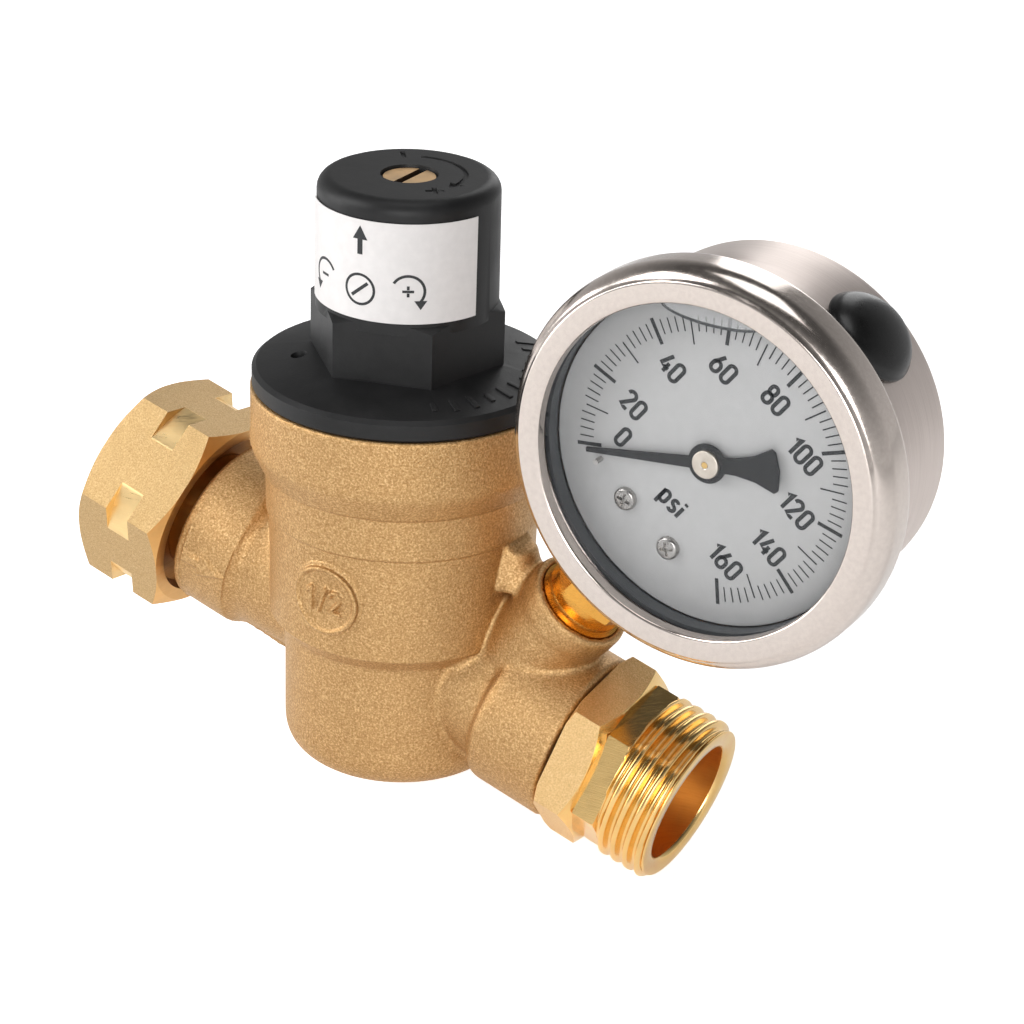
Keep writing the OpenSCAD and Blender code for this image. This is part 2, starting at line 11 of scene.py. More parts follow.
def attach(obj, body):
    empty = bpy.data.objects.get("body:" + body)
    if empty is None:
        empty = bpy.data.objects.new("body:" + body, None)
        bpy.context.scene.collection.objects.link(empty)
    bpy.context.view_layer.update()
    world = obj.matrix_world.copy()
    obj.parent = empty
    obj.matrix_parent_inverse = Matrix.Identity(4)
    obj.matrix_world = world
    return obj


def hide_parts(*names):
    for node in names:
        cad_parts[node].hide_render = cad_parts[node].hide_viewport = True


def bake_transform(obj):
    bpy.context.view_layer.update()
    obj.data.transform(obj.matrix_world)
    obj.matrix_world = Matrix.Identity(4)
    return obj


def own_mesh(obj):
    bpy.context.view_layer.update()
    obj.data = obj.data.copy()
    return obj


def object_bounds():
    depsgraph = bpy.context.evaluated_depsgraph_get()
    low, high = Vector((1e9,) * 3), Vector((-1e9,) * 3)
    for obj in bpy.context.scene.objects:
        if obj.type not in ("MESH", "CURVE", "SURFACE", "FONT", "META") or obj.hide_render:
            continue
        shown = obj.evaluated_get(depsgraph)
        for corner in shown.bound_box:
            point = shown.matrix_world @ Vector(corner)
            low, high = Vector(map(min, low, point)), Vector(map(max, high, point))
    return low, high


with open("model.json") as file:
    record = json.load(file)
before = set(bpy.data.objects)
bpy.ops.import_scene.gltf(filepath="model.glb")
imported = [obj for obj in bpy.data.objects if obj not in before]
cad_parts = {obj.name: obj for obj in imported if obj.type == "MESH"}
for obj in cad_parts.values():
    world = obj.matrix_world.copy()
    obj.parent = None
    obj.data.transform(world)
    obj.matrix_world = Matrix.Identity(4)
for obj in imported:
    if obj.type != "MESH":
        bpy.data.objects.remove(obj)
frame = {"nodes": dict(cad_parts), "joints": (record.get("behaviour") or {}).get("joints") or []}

CAD_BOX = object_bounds()
MM = 0.001
NODES = frame["nodes"]
JOINTS = {j["name"]: j for j in frame["joints"]}

# ---- places taken from the frame
PIPE_DIR = Vector(JOINTS["inlet_nut_swivel"]["axis"]).normalized()
DIAL_CENTRE = Vector(JOINTS["pointer_sweep"]["pos_m"])
DIAL_CENTRE.y = 0.0
GAUGE_LEAN = math.radians(38)
PIPE_TILT = math.atan2(-PIPE_DIR.z, PIPE_DIR.x)

# Pipe frame: local Z runs towards the outlet. Dial frame: local Z faces the reader, Y is 12 o'clock.
PIPE = Matrix.Rotation(math.radians(90) + PIPE_TILT, 4, "Y")
DIAL = (Matrix.Translation(DIAL_CENTRE) @ Matrix.Rotation(GAUGE_LEAN, 4, "Y")
        @ Matrix.Rotation(math.radians(90), 4, "X"))
WORLD = Matrix.Identity(4)


# ---- mesh helpers
def new_object(name, mesh):
    """Links a mesh to the scene under a piece name."""
    obj = bpy.data.objects.new(name, mesh)
    bpy.context.scene.collection.objects.link(obj)
    return obj


def build(name, verts, faces, place=WORLD, smooth=True):
    """A mesh from points in millimetres in a local frame, moved to its place."""
    mesh = bpy.data.meshes.new(name)
    mesh.from_pydata([place @ (Vector(v) * MM) for v in verts], [], faces)
    mesh.validate()
    bm = bmesh.new()
    bm.from_mesh(mesh)
    bmesh.ops.remove_doubles(bm, verts=bm.verts, dist=1e-7)
    bmesh.ops.recalc_face_normals(bm, faces=bm.faces)
    bm.to_mesh(mesh)
    bm.free()
    for poly in mesh.polygons:
        poly.use_smooth = smooth
    return new_object(name, mesh)


def arc(cx, cy, r, a0, a1, n=8):
    """Points along an arc, in degrees."""
    return [(cx + r * math.cos(math.radians(a0 + (a1 - a0) * i / n)),
             cy + r * math.sin(math.radians(a0 + (a1 - a0) * i / n))) for i in range(n + 1)]


def box_outline(cx, cy, half, low, high):
    """Outline of an upright rectangle about a point."""
    return [(cx - half, cy + low), (cx + half, cy + low), (cx + half, cy + high), (cx - half, cy + high)]


def lathe(name, profile, place=WORLD, steps=128, closed=False):
    """Turns a profile of (radius, height) about local Z. A closed profile is a ring's section."""
    verts = []
    for i in range(steps):
        a = math.radians(360.0 * i / steps)
        verts += [(r * math.cos(a), r * math.sin(a), z) for r, z in profile]
    n = len(profile)
    spans = n if closed else n - 1
    faces = []
    for i in range(steps):
        p, q = i * n, ((i + 1) % steps) * n
        for k in range(spans):
            j = (k + 1) % n
            faces.append((p + k, p + j, q + j, q + k))
    return build(name, verts, faces, place)


def slab(name, outline, z0, z1, place=WORLD, bevel=0.0):
    """A flat outline raised from z0 to z1, with its edges rounded by bevel."""
    n = len(outline)
    verts = [(x, y, z0) for x, y in outline] + [(x, y, z1) for x, y in outline]
    faces = [tuple(range(n))[::-1], tuple(range(n, 2 * n))]
    faces += [(i, (i + 1) % n, n + (i + 1) % n, n + i) for i in range(n)]
    obj = build(name, verts, faces, place, smooth=False)
    if bevel:
        soften(obj, bevel, dissolve=False)
    return obj


def apply_all(obj):
    """Bakes an object's modifiers into its mesh."""
    bpy.context.view_layer.update()
    evaluated = obj.evaluated_get(bpy.context.evaluated_depsgraph_get())
    mesh = bpy.data.meshes.new_from_object(evaluated)
    obj.modifiers.clear()
    obj.data = mesh


def shade_by_angle(obj, degrees=32):
    """Smooth shading broken at edges sharper than the angle."""
    mesh = obj.data
    for poly in mesh.polygons:
        poly.use_smooth = True
    bm = bmesh.new()
    bm.from_mesh(mesh)
    limit = math.radians(degrees)
    for edge in bm.edges:
        edge.smooth = len(edge.link_faces) == 2 and edge.calc_face_angle(0) < limit
    bm.to_mesh(mesh)
    bm.free()


def soften(obj, width, angle=28, dissolve=True):
    """Breaks the sharp edges of a mesh with a small round."""
    if dissolve:
        bm = bmesh.new()
        bm.from_mesh(obj.data)
        bmesh.ops.remove_doubles(bm, verts=bm.verts, dist=2e-6)
        bmesh.ops.dissolve_limit(bm, angle_limit=math.radians(0.6), verts=bm.verts, edges=bm.edges)
        bm.to_mesh(obj.data)
        bm.free()
    mod = obj.modifiers.new("edge", "BEVEL")
    mod.width = width * MM
    mod.segments = 2
    mod.limit_method = "ANGLE"
    mod.angle_limit = math.radians(angle)
    mod.use_clamp_overlap = True
    apply_all(obj)
    shade_by_angle(obj, 40)
    mod = obj.modifiers.new("flats", "WEIGHTED_NORMAL")
    mod.keep_sharp = True
    apply_all(obj)


def copy_node(node, name):
    """A free copy of a CAD node's mesh."""
    return new_object(name, NODES[node].data.copy())


def join(name, parts):
    """Joins several objects into the first one."""
    bm = bmesh.new()
    for part in parts:
        bm.from_mesh(part.data)
    mesh = bpy.data.meshes.new(name)
    bm.to_mesh(mesh)
    bm.free()
    for part in parts:
        bpy.data.objects.remove(part)
    return new_object(name, mesh)


def finish_piece(obj, material, body, *nodes):
    """Gives a piece its material, the body it rides on and the CAD nodes it stands for."""
    obj.data.materials.clear()
    obj.data.materials.append(material)
    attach(obj, body)
    if nodes:
        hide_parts(*nodes)
    return obj


# ---- material helpers
class Nodes:
    """Short-hand for building one material's node tree."""

    def __init__(self, name):
        self.material = bpy.data.materials.new(name)
        self.material.use_nodes = True
        self.tree = self.material.node_tree
        self.shader = self.tree.nodes["Principled BSDF"]
        self.coords = self.tree.nodes.new("ShaderNodeTexCoord").outputs["Object"]

    def link(self, a, b):
        self.tree.links.new(a, b)

    def scaled(self, scale, turn=(0, 0, 0)):
        """Object coordinates turned and stretched."""
        node = self.tree.nodes.new("ShaderNodeMapping")
        node.inputs["Rotation"].default_value = turn
        node.inputs["Scale"].default_value = scale
        self.link(self.coords, node.inputs["Vector"])
        return node.outputs["Vector"]

    def noise(self, scale, detail=3.0, rough=0.55, vector=None):
        """Fractal noise, on object coordinates unless told otherwise."""
        node = self.tree.nodes.new("ShaderNodeTexNoise")
        node.inputs["Scale"].default_value = scale
        node.inputs["Detail"].default_value = detail
        node.inputs["Roughness"].default_value = rough
        self.link(vector or self.coords, node.inputs["Vector"])
        return node.outputs["Fac"]

    def cells(self, scale, vector=None):
        """Distance to the nearest Voronoi point."""
        node = self.tree.nodes.new("ShaderNodeTexVoronoi")
        node.inputs["Scale"].default_value = scale
        self.link(vector or self.coords, node.inputs["Vector"])
        return node.outputs["Distance"]

    def remap(self, value, low, high, out_low, out_high):
        """Stretches a range of values onto another."""
        node = self.tree.nodes.new("ShaderNodeMapRange")
        for key, number in (("From Min", low), ("From Max", high), ("To Min", out_low), ("To Max", out_high)):
            node.inputs[key].default_value = number
        self.link(value, node.inputs["Value"])
        return node.outputs["Result"]

    def ramp(self, value, *stops):
        """A colour ramp from (position, (r, g, b)) stops."""
        node = self.tree.nodes.new("ShaderNodeValToRGB")
        elements = node.color_ramp.elements
        while len(elements) < len(stops):
            elements.new(0.5)
        for element, (position, colour) in zip(elements, stops):
            element.position = position
            element.color = (*colour, 1)
        self.link(value, node.inputs["Fac"])
        return node.outputs["Color"]

    def bump(self, height, distance, strength=1.0, normal=None):
        """Bump of a depth in millimetres, on top of another if given."""
        node = self.tree.nodes.new("ShaderNodeBump")
        node.inputs["Distance"].default_value = distance * MM
        node.inputs["Strength"].default_value = strength
        self.link(height, node.inputs["Height"])
        if normal:
            self.link(normal, node.inputs["Normal"])
        return node.outputs["Normal"]

    def set(self, **values):
        """Sets shader sockets: a number or colour directly, or a link from another node."""
        names = {"colour": "Base Color", "rough": "Roughness", "metal": "Metallic", "normal": "Normal",
                 "spec": "Specular IOR Level", "coat": "Coat Weight", "coat_rough": "Coat Roughness",
                 "aniso": "Anisotropic", "alpha": "Alpha", "ior": "IOR",
                 "transmission": "Transmission Weight"}
        for key, value in values.items():
            socket = self.shader.inputs[names[key]]
            if isinstance(value, bpy.types.NodeSocket):
                self.link(value, socket)
            else:
                socket.default_value = (*value, 1) if isinstance(value, tuple) else value
        return self.material


def cast_brass():
    """Shot-blasted casting: fine dimpled grain over slow lumps, warm matt gold."""
    n = Nodes("cast_brass")
    grain = n.noise(3200, 4, 0.6)
    pits = n.cells(2600)
    lumps = n.noise(170, 3)
    colour = n.ramp(grain, (0.30, (0.37, 0.205, 0.075)), (0.52, (0.54, 0.33, 0.142)),
                    (0.72, (0.80, 0.545, 0.28)))
    normal = n.bump(lumps, 0.35, 0.5)
    normal = n.bump(grain, 0.11, 1.0, normal)
    normal = n.bump(pits, 0.05, 0.5, normal)
    return n.set(colour=colour, metal=0.92, rough=n.remap(grain, 0.3, 0.7, 0.54, 0.38), normal=normal)


def forged_brass(name="forged_brass", level=1.0):
    """Forged nut flats with a fine blasted grain, a little brighter than the casting."""
    n = Nodes(name)
    grain = n.noise(4200, 4, 0.6)
    lumps = n.noise(260, 2)
    stops = ((0.30, (0.50, 0.32, 0.135)), (0.52, (0.63, 0.42, 0.19)), (0.74, (0.77, 0.57, 0.31)))
    colour = n.ramp(grain, *((at, tuple(level * c for c in tone)) for at, tone in stops))
    normal = n.bump(grain, 0.07, 0.8, n.bump(lumps, 0.15, 0.4))
    return n.set(colour=colour, metal=0.92, rough=n.remap(grain, 0.3, 0.7, 0.50, 0.36), normal=normal)


def turned_brass(name="turned_brass", colour=(0.95, 0.64, 0.26), rough=0.15, axis=None):
    """Bright machined brass with faint tool rings about its axis."""
    n = Nodes(name)
    rings = n.noise(1.0, 2, 0.5, n.scaled((300, 300, 9000), axis or (0, 0, 0)))
    stains = n.noise(240, 3)
    dark = tuple(c * 0.90 for c in colour)
    return n.set(colour=n.ramp(stains, (0.35, dark), (0.65, colour)), metal=1.0,
                 rough=n.remap(rings, 0.3, 0.7, rough * 0.8, rough * 1.5), normal=n.bump(rings, 0.012, 0.5))


def cap_plastic():
    """Black moulded nylon with a fine spark-eroded texture."""
    n = Nodes("cap_plastic")
    grain = n.noise(2600, 3)
    flow = n.noise(120, 3)
    return n.set(colour=n.ramp(flow, (0.3, (0.007, 0.007, 0.0073)), (0.7, (0.016, 0.016, 0.0165))),
                 rough=n.remap(flow, 0.3, 0.7, 0.40, 0.52), spec=0.32, normal=n.bump(grain, 0.03, 0.55))


def rubber(name="rubber", rough=0.6, colour=(0.018, 0.018, 0.018)):
    """Black rubber, dull with a soft mottle."""
    n = Nodes(name)
    mottle = n.noise(500, 4)
    light = tuple(c * 1.7 for c in colour)
    return n.set(colour=n.ramp(mottle, (0.3, colour), (0.7, light)),
                 rough=n.remap(mottle, 0.3, 0.7, rough * 0.85, rough * 1.15), normal=n.bump(mottle, 0.03, 0.4))


def brushed_steel():
    """Case side: grain lines run round the case, so the texture is stretched across its depth."""
    n = Nodes("brushed_steel")
    lines = n.noise(1.0, 4, 0.6, n.scaled((60, 14000, 60)))
    clouds = n.noise(60, 2)
    colour = n.ramp(lines, (0.3, (0.64, 0.56, 0.52)), (0.7, (0.80, 0.715, 0.67)))
    rough = n.remap(clouds, 0.3, 0.7, 0.40, 0.48)
    return n.set(colour=colour, metal=1.0, rough=rough, aniso=0.35, normal=n.bump(lines, 0.012, 0.6))


def polished_steel():
    """Bezel: polished, with faint turning lines and a little wear."""
    n = Nodes("polished_steel")
    lines = n.noise(1.0, 3, 0.6, n.scaled((900, 5000, 900)))
    wear = n.noise(1400, 5)
    return n.set(colour=n.ramp(wear, (0.3, (0.68, 0.60, 0.55)), (0.65, (0.74, 0.66, 0.605))), metal=1.0,
                 rough=n.remap(wear, 0.35, 0.7, 0.15, 0.20), normal=n.bump(lines, 0.006, 0.5))


def steel(name="steel", rough=0.26, dark=(0.40, 0.385, 0.37), light=(0.55, 0.53, 0.51)):
    """Plain steel with a slight mottle."""
    n = Nodes(name)
    mottle = n.noise(900, 3)
    return n.set(colour=n.ramp(mottle, (0.3, dark), (0.7, light)), metal=1.0,
                 rough=n.remap(mottle, 0.3, 0.7, rough * 0.8, rough * 1.4), normal=n.bump(mottle, 0.01, 0.4))


def painted(name, colour, rough=0.5, bump=0.008):
    """Paint or print: an even colour with a very slight mottle."""
    n = Nodes(name)
    mottle = n.noise(700, 3)
    low = tuple(c * 0.94 for c in colour)
    return n.set(colour=n.ramp(mottle, (0.3, low), (0.7, colour)),
                 rough=n.remap(mottle, 0.3, 0.7, rough, rough + 0.08), normal=n.bump(mottle, bump, 0.4))


def clear(name, colour, alpha, rough=0.03):
    """Glass or liquid seen through: mostly open, with a gloss on top."""
    n = Nodes(name)
    haze = n.noise(90, 2)
    return n.set(colour=n.ramp(haze, (0.3, tuple(c * 0.97 for c in colour)), (0.7, colour)), alpha=alpha,
                 rough=n.remap(haze, 0.3, 0.7, rough, rough * 1.4), spec=0.9)


CAST = cast_brass()
FORGED = forged_brass(level=0.92)
HEX_BRASS = forged_brass("hex_brass", 1.28)
TURNED = turned_brass()
TURNED_PIPE = turned_brass("turned_brass_pipe", axis=(0, -math.radians(90) - PIPE_TILT, 0))
# darker, redder copy of the turned brass for the bores: painted shade inside them
BORE_SHADE_BRASS = turned_brass("bore_brass_painted_shade", (0.72, 0.29, 0.05), 0.42)
# very dark brass for the inside of the nut and the tailpiece within it: painted shade in the gap
GAP_SHADE_BRASS = turned_brass("gap_brass_painted_shade", (0.44, 0.20, 0.045), 0.35)
NOTCH_BRASS = turned_brass("notch_brass", (0.97, 0.70, 0.34), 0.34)
CHAMFER_BRASS = turned_brass("chamfer_brass", (0.86, 0.52, 0.20), 0.36)
SCREW_BRASS = turned_brass("screw_brass", (0.97, 0.66, 0.36), 0.38)
SLOT_SHADE = painted("slot_shade", (0.035, 0.016, 0.006), 0.5)
# darker orange brass for the gauge stem: painted shade between its rim and the bezel
STEM_SHADE_BRASS = turned_brass("stem_brass_painted_shade", (0.84, 0.43, 0.09), 0.24)
PLASTIC = cap_plastic()
RUBBER = rubber()
PLUG_RUBBER = rubber("plug_rubber", 0.3, (0.003, 0.003, 0.003))
CASE_STEEL = brushed_steel()
BEZEL_STEEL = polished_steel()
STEEL = steel()
HUB_METAL = steel("hub_metal", 0.36, (0.74, 0.66, 0.57), (0.86, 0.79, 0.70))
SPRING = steel("spring_wire", 0.3)
ACETAL = painted("acetal", (0.80, 0.79, 0.74), 0.35)
DIAL_PAINT = painted("dial_paint", (0.525, 0.525, 0.525), 0.5)
DIAL_PRINT = painted("dial_print", (0.022, 0.023, 0.025), 0.5, 0.002)
POINTER_PAINT = painted("pointer_paint", (0.012, 0.012, 0.013), 0.42)
LABEL_FILM = painted("label_film", (0.73, 0.705, 0.695), 0.42)
GLASS = clear("window_glass", (0.10, 0.11, 0.12), 0.07)
LIQUID_EDGE = clear("liquid_edge", (0.05, 0.055, 0.06), 0.88)
# pale veil on the bubble: painted highlight
BUBBLE_HIGHLIGHT = clear("air_bubble_highlight", (0.80, 0.81, 0.82), 0.25)
GASKET = painted("window_seal", (0.085, 0.09, 0.095), 0.3)
INNER_RING = steel("inner_ring", 0.35)

# ---- body casting
INLET_FACE = -36.0
OUTLET_FACE = 35.7
EMBLEM_Z = 13.4
CUP_R = 19.0          # inside the cup everything is machined
CUP_FLOOR = 4.0
BODY_RIM = 41.2       # machined from here up
VOXEL = 0.45
RELAX_TURNS = 14


def stroke_distance(x, y, strokes):
    """Distance from a point to the nearest of several polylines."""
    best = 1e9
    for line in strokes:
        for (ax, ay), (bx, by) in zip(line, line[1:]):
            dx, dy = bx - ax, by - ay
            t = max(0.0, min(1.0, ((x - ax) * dx + (y - ay) * dy) / (dx * dx + dy * dy + 1e-12)))
            best = min(best, math.hypot(x - ax - t * dx, y - ay - t * dy))
    return best


def raised_profile(distance, half_width, height):
    """Height of a cast ridge with soft shoulders."""
    return height * max(0.0, min(1.0, 0.5 - (distance - half_width) / 0.3))


def emblem_strokes():
    """A plain half-inch size mark: a one, a slanted bar and a two."""
    two = arc(2.0, 0.75, 0.95, 170, -30, 9) + [(1.05, -1.75), (3.0, -1.75)]
    return [[(-3.0, 1.0), (-2.3, 1.75), (-2.3, -1.75)], [(-1.0, -1.9), (0.3, 1.9)], two]


def flow_arrow(s, w):
    """Height of the flow arrow on the inlet boss; s runs towards the outlet."""
    tip, root, tail, half = -26.0, -30.8, -34.2, 2.1
    if root <= s <= tip:
        inside = half * (tip - s) / (tip - root) - abs(w)
    elif tail <= s < root:
        inside = 0.9 - abs(w)
    else:
        inside = -min(abs(s - tip), abs(s - tail))
    return 0.5 * max(0.0, min(1.0, 0.5 + inside / 0.6))


BARREL = [(4.1, 20.45), (4.4, 20.75), (19.6, 20.9), (21.45, 20.95), (21.8, 21.4), (28.4, 21.5), (28.8, 22.1),
          (31.0, 23.1)]


def barrel_radius(z):
    """Radius of the stepped barrel at a height, or None off its steps."""
    for (z0, r0), (z1, r1) in zip(BARREL, BARREL[1:]):
        if z0 <= z < z1:
            return r0 + (r1 - r0) * (z - z0) / (z1 - z0)
    return None


def body_casting():
    """The casting: CAD shape remeshed, its inside corners run into fillets, marks raised on it."""
    obj = copy_node("valve_body", "body_casting")
    mod = obj.modifiers.new("voxels", "REMESH")
    mod.mode = "VOXEL"
    mod.voxel_size = VOXEL * MM
    apply_all(obj)
    bm = bmesh.new()
    bm.from_mesh(obj.data)
    inverse = PIPE.inverted()

    def machined(co):
        """0 on machined faces and in bores, 1 on the cast skin."""
        p = (inverse @ co) / MM
        q = co / MM
        radial = math.hypot(p.x, p.y)
        spare = [BODY_RIM - q.z, OUTLET_FACE - 0.9 - p.z, p.z - INLET_FACE - 0.5]
        if math.hypot(q.x, q.y) < CUP_R and q.z > CUP_FLOOR - CUP_R:
            spare.append(0.0)
        if radial < 10.8:
            spare.append(0.0)
        return max(0.0, min(1.0, min(spare) / 0.8))

    weights = [machined(v.co) for v in bm.verts]
    for turn in range(RELAX_TURNS):
        moved = []
        bm.normal_update()
        for v, w in zip(bm.verts, weights):
            middle = sum((e.other_vert(v).co for e in v.link_edges), Vector()) / len(v.link_edges)
            hollow = (middle - v.co).dot(v.normal) > 0
            moved.append(v.co.lerp(middle, 0.55 * w) if hollow or turn < 4 else v.co.copy())
        for v, co in zip(bm.verts, moved):
            v.co = co

    # finer faces where the marks stand
    def near_mark(co):
        q = co / MM
        p = (inverse @ co) / MM
        on_emblem = q.y < -17 and math.hypot(q.x, q.z - EMBLEM_Z) < 7.5
        on_arrow = p.y < -9 and -35 < p.z < -24 and abs(p.x) < 5
        step = min(abs(q.z - z) for z in (4.3, 21.6, 28.6))
        on_step = step < 0.6 and 20 < math.hypot(q.x, q.y) < 23.2
        return on_emblem or on_arrow or on_step

    faces = [f for f in bm.faces if near_mark(f.calc_center_median())]
    edges = list({e for f in faces for e in f.edges})
    bmesh.ops.subdivide_edges(bm, edges=edges, cuts=2, use_grid_fill=True)
    strokes = emblem_strokes()
    bm.normal_update()
    for v in bm.verts:
        q = v.co / MM
        p = (inverse @ v.co) / MM
        rise = 0.0
        radius = barrel_radius(q.z)
        reach = math.hypot(q.x, q.y)
        if radius and (q.y > -17 or math.hypot(q.x, q.z - EMBLEM_Z) > 6.2):
            gap = radius - reach
            level = v.normal.dot(Vector((q.x, q.y, 0)).normalized())
            if abs(gap) < 0.8 and level > 0.6:
                share = min(1.0, (0.8 - abs(gap)) / 0.2, (level - 0.6) / 0.2)
                v.co += Vector((q.x, q.y, 0)) / reach * gap * MM * share
        if q.y < -17 and abs(q.z - EMBLEM_Z) < 7.5 and abs(q.x) < 7.5:
            x, y = q.x, q.z - EMBLEM_Z
            rise = max(raised_profile(abs(math.hypot(x, y) - 5.2), 0.3, 0.5),
                       raised_profile(stroke_distance(x, y, strokes), 0.3, 0.7))
        elif p.y < -9 and -35 < p.z < -24:
            rise = flow_arrow(p.z, p.x)
        if rise:
            v.co += v.normal * rise * MM
    bm.to_mesh(obj.data)
    bm.free()
    for poly in obj.data.polygons:
        poly.use_smooth = True
    return finish_piece(obj, CAST, "valve", "valve_body")


# ---- threads and hexagons
HOSE_PITCH = 2.209


def thread_profile(u):
    """Depth share of a rounded thread at a fraction of its pitch, 0 in the root and 1 on the crest."""
    rise = abs((u % 1.0) - 0.5) * 2
    t = max(0.0, min(1.0, (0.80 - rise) / 0.58))
    return t * t * (3 - 2 * t)


def helical_thread(name, root, crest, z0, z1, place, face_r=None, steps=160, rows=14):
    """A helical thread surface between two heights, closed down to its root at both ends."""
    turns = int((z1 - z0) / HOSE_PITCH) + 3
    verts, faces = [], []
    count = turns * rows + 1
    for i in range(steps + 1):
        a = 2 * math.pi * i / steps
        for k in range(count):
            u = k / rows - 1
            z = z0 + HOSE_PITCH * (u - i / steps + 1)
            r = root + (crest - root) * thread_profile(u)
            if face_r:
                r = min(r, face_r + max(0.0, z1 - z) * 1.1)
            if z <= z0:
                z, r = z0, root
            if z >= z1:
                z, r = z1, root
            verts.append((r * math.cos(a), r * math.sin(a), z))
    for i in range(steps):
        for k in range(count - 1):
            a, b = i * count + k, (i + 1) * count + k
            faces.append((a, a + 1, b + 1, b))
    return build(name, verts, faces, place)


def boolean(obj, other, operation):
    """Combines another object into this one and removes the other."""
    mod = obj.modifiers.new("cut", "BOOLEAN")
    mod.object = other
    mod.operation = operation
    mod.solver = "EXACT"
    apply_all(obj)
    bpy.data.objects.remove(other)
    return obj


def hex_bar(name, flats, z0, z1, low, high, turn, place, edge=0.25, bore=None):
    """A hexagonal bar cut by a turned blank, so each corner ends in its curved chamfer."""
    corner = flats / 2 / math.cos(math.radians(30))
    outline = arc(0, 0, corner, turn, turn + 360, 6)[:6]
    bar = slab(name, outline, z0, z1, place)
    t30 = math.tan(math.radians(30))
    blank = lathe("blank", [(0, z0 - 0.01), (corner - low, z0 - 0.01), (corner + 0.3, z0 + (low + 0.3) * t30),
                            (corner + 0.3, z1 - (high + 0.3) * t30), (corner - high, z1 + 0.01), (0, z1 + 0.01)],
                  place, steps=96)
    boolean(bar, blank, "INTERSECT")
    if bore:
        boolean(bar, lathe("drill", [(0, z0 - 1), (bore, z0 - 1), (bore, z1 + 1), (0, z1 + 1)], place, 96),
                "DIFFERENCE")
    if edge:
        soften(bar, edge)
    return bar


# ---- outlet adapter
OUTLET_BORE_R = 9.75
ADAPTER_TURN = 42
ADAPTER_HEX = 36.2
ADAPTER_COLLAR = 42.6
ADAPTER_THREAD = 45.8
ADAPTER_END = 55.3
HOSE_R = 13.45


def outlet_adapter():
    """Hexagon, polished collar, helical hose thread and open bore."""
    flats = hex_bar("adapter_hex", 27, ADAPTER_HEX, ADAPTER_COLLAR, 1.2, 2.4, ADAPTER_TURN, PIPE,
                    bore=OUTLET_BORE_R + 0.5)
    finish_piece(flats, HEX_BRASS, "valve", "outlet_adapter")
    flats.data.materials.append(TURNED_PIPE)
    axis = PIPE.to_3x3() @ Vector((0, 0, 1))
    for poly in flats.data.polygons:
        if poly.normal.dot(axis) > 0.3:
            poly.material_index = 1
    collar = hex_bar("adapter_collar", 23.8, ADAPTER_COLLAR - 0.02, ADAPTER_THREAD + 0.6, 0.1, 0.3, ADAPTER_TURN,
                     PIPE, edge=0.12, bore=OUTLET_BORE_R + 0.5)
    finish_piece(collar, TURNED_PIPE, "valve", "outlet_adapter")
    root = HOSE_R - 1.3
    thread = helical_thread("adapter_thread", root, HOSE_R, ADAPTER_THREAD + 0.5, ADAPTER_END - 0.45, PIPE,
                            face_r=HOSE_R - 0.75)
    finish_piece(thread, TURNED_PIPE, "valve", "outlet_adapter")
    rim = lathe("adapter_rim", [(root, ADAPTER_END - 0.46)] + arc(root + 0.25, ADAPTER_END - 0.3, 0.3, 0, 90, 4)
                + [(OUTLET_BORE_R + 0.75, ADAPTER_END)]
                + [(OUTLET_BORE_R + 0.1, ADAPTER_END - 0.35), (OUTLET_BORE_R, ADAPTER_END - 0.8)], PIPE)
    finish_piece(rim, TURNED_PIPE, "valve", "outlet_adapter")
    # bore and shank in the darker brass: painted shade inside the bore
    bore = lathe("adapter_bore", [(OUTLET_BORE_R, ADAPTER_END - 0.8), (OUTLET_BORE_R, 43.0), (8.6, 42.0),
                                  (7.5, 41.6), (7.5, 24.4)], PIPE)
    finish_piece(bore, BORE_SHADE_BRASS, "valve", "outlet_adapter")
    shank = lathe("adapter_shank", [(7.5, 24.4), (9.9, 24.4), (10.35, 24.9), (10.35, 32.6), (9.4, 33.2),
                                    (9.4, ADAPTER_HEX + 0.05), (12.6, ADAPTER_HEX + 0.05)], PIPE)
    finish_piece(shank, BORE_SHADE_BRASS, "valve", "outlet_adapter")


# ---- inlet nut
NUT_LEFT = -53.8
NUT_RIGHT = -37.5
GROOVE = (-47.4, -43.0)


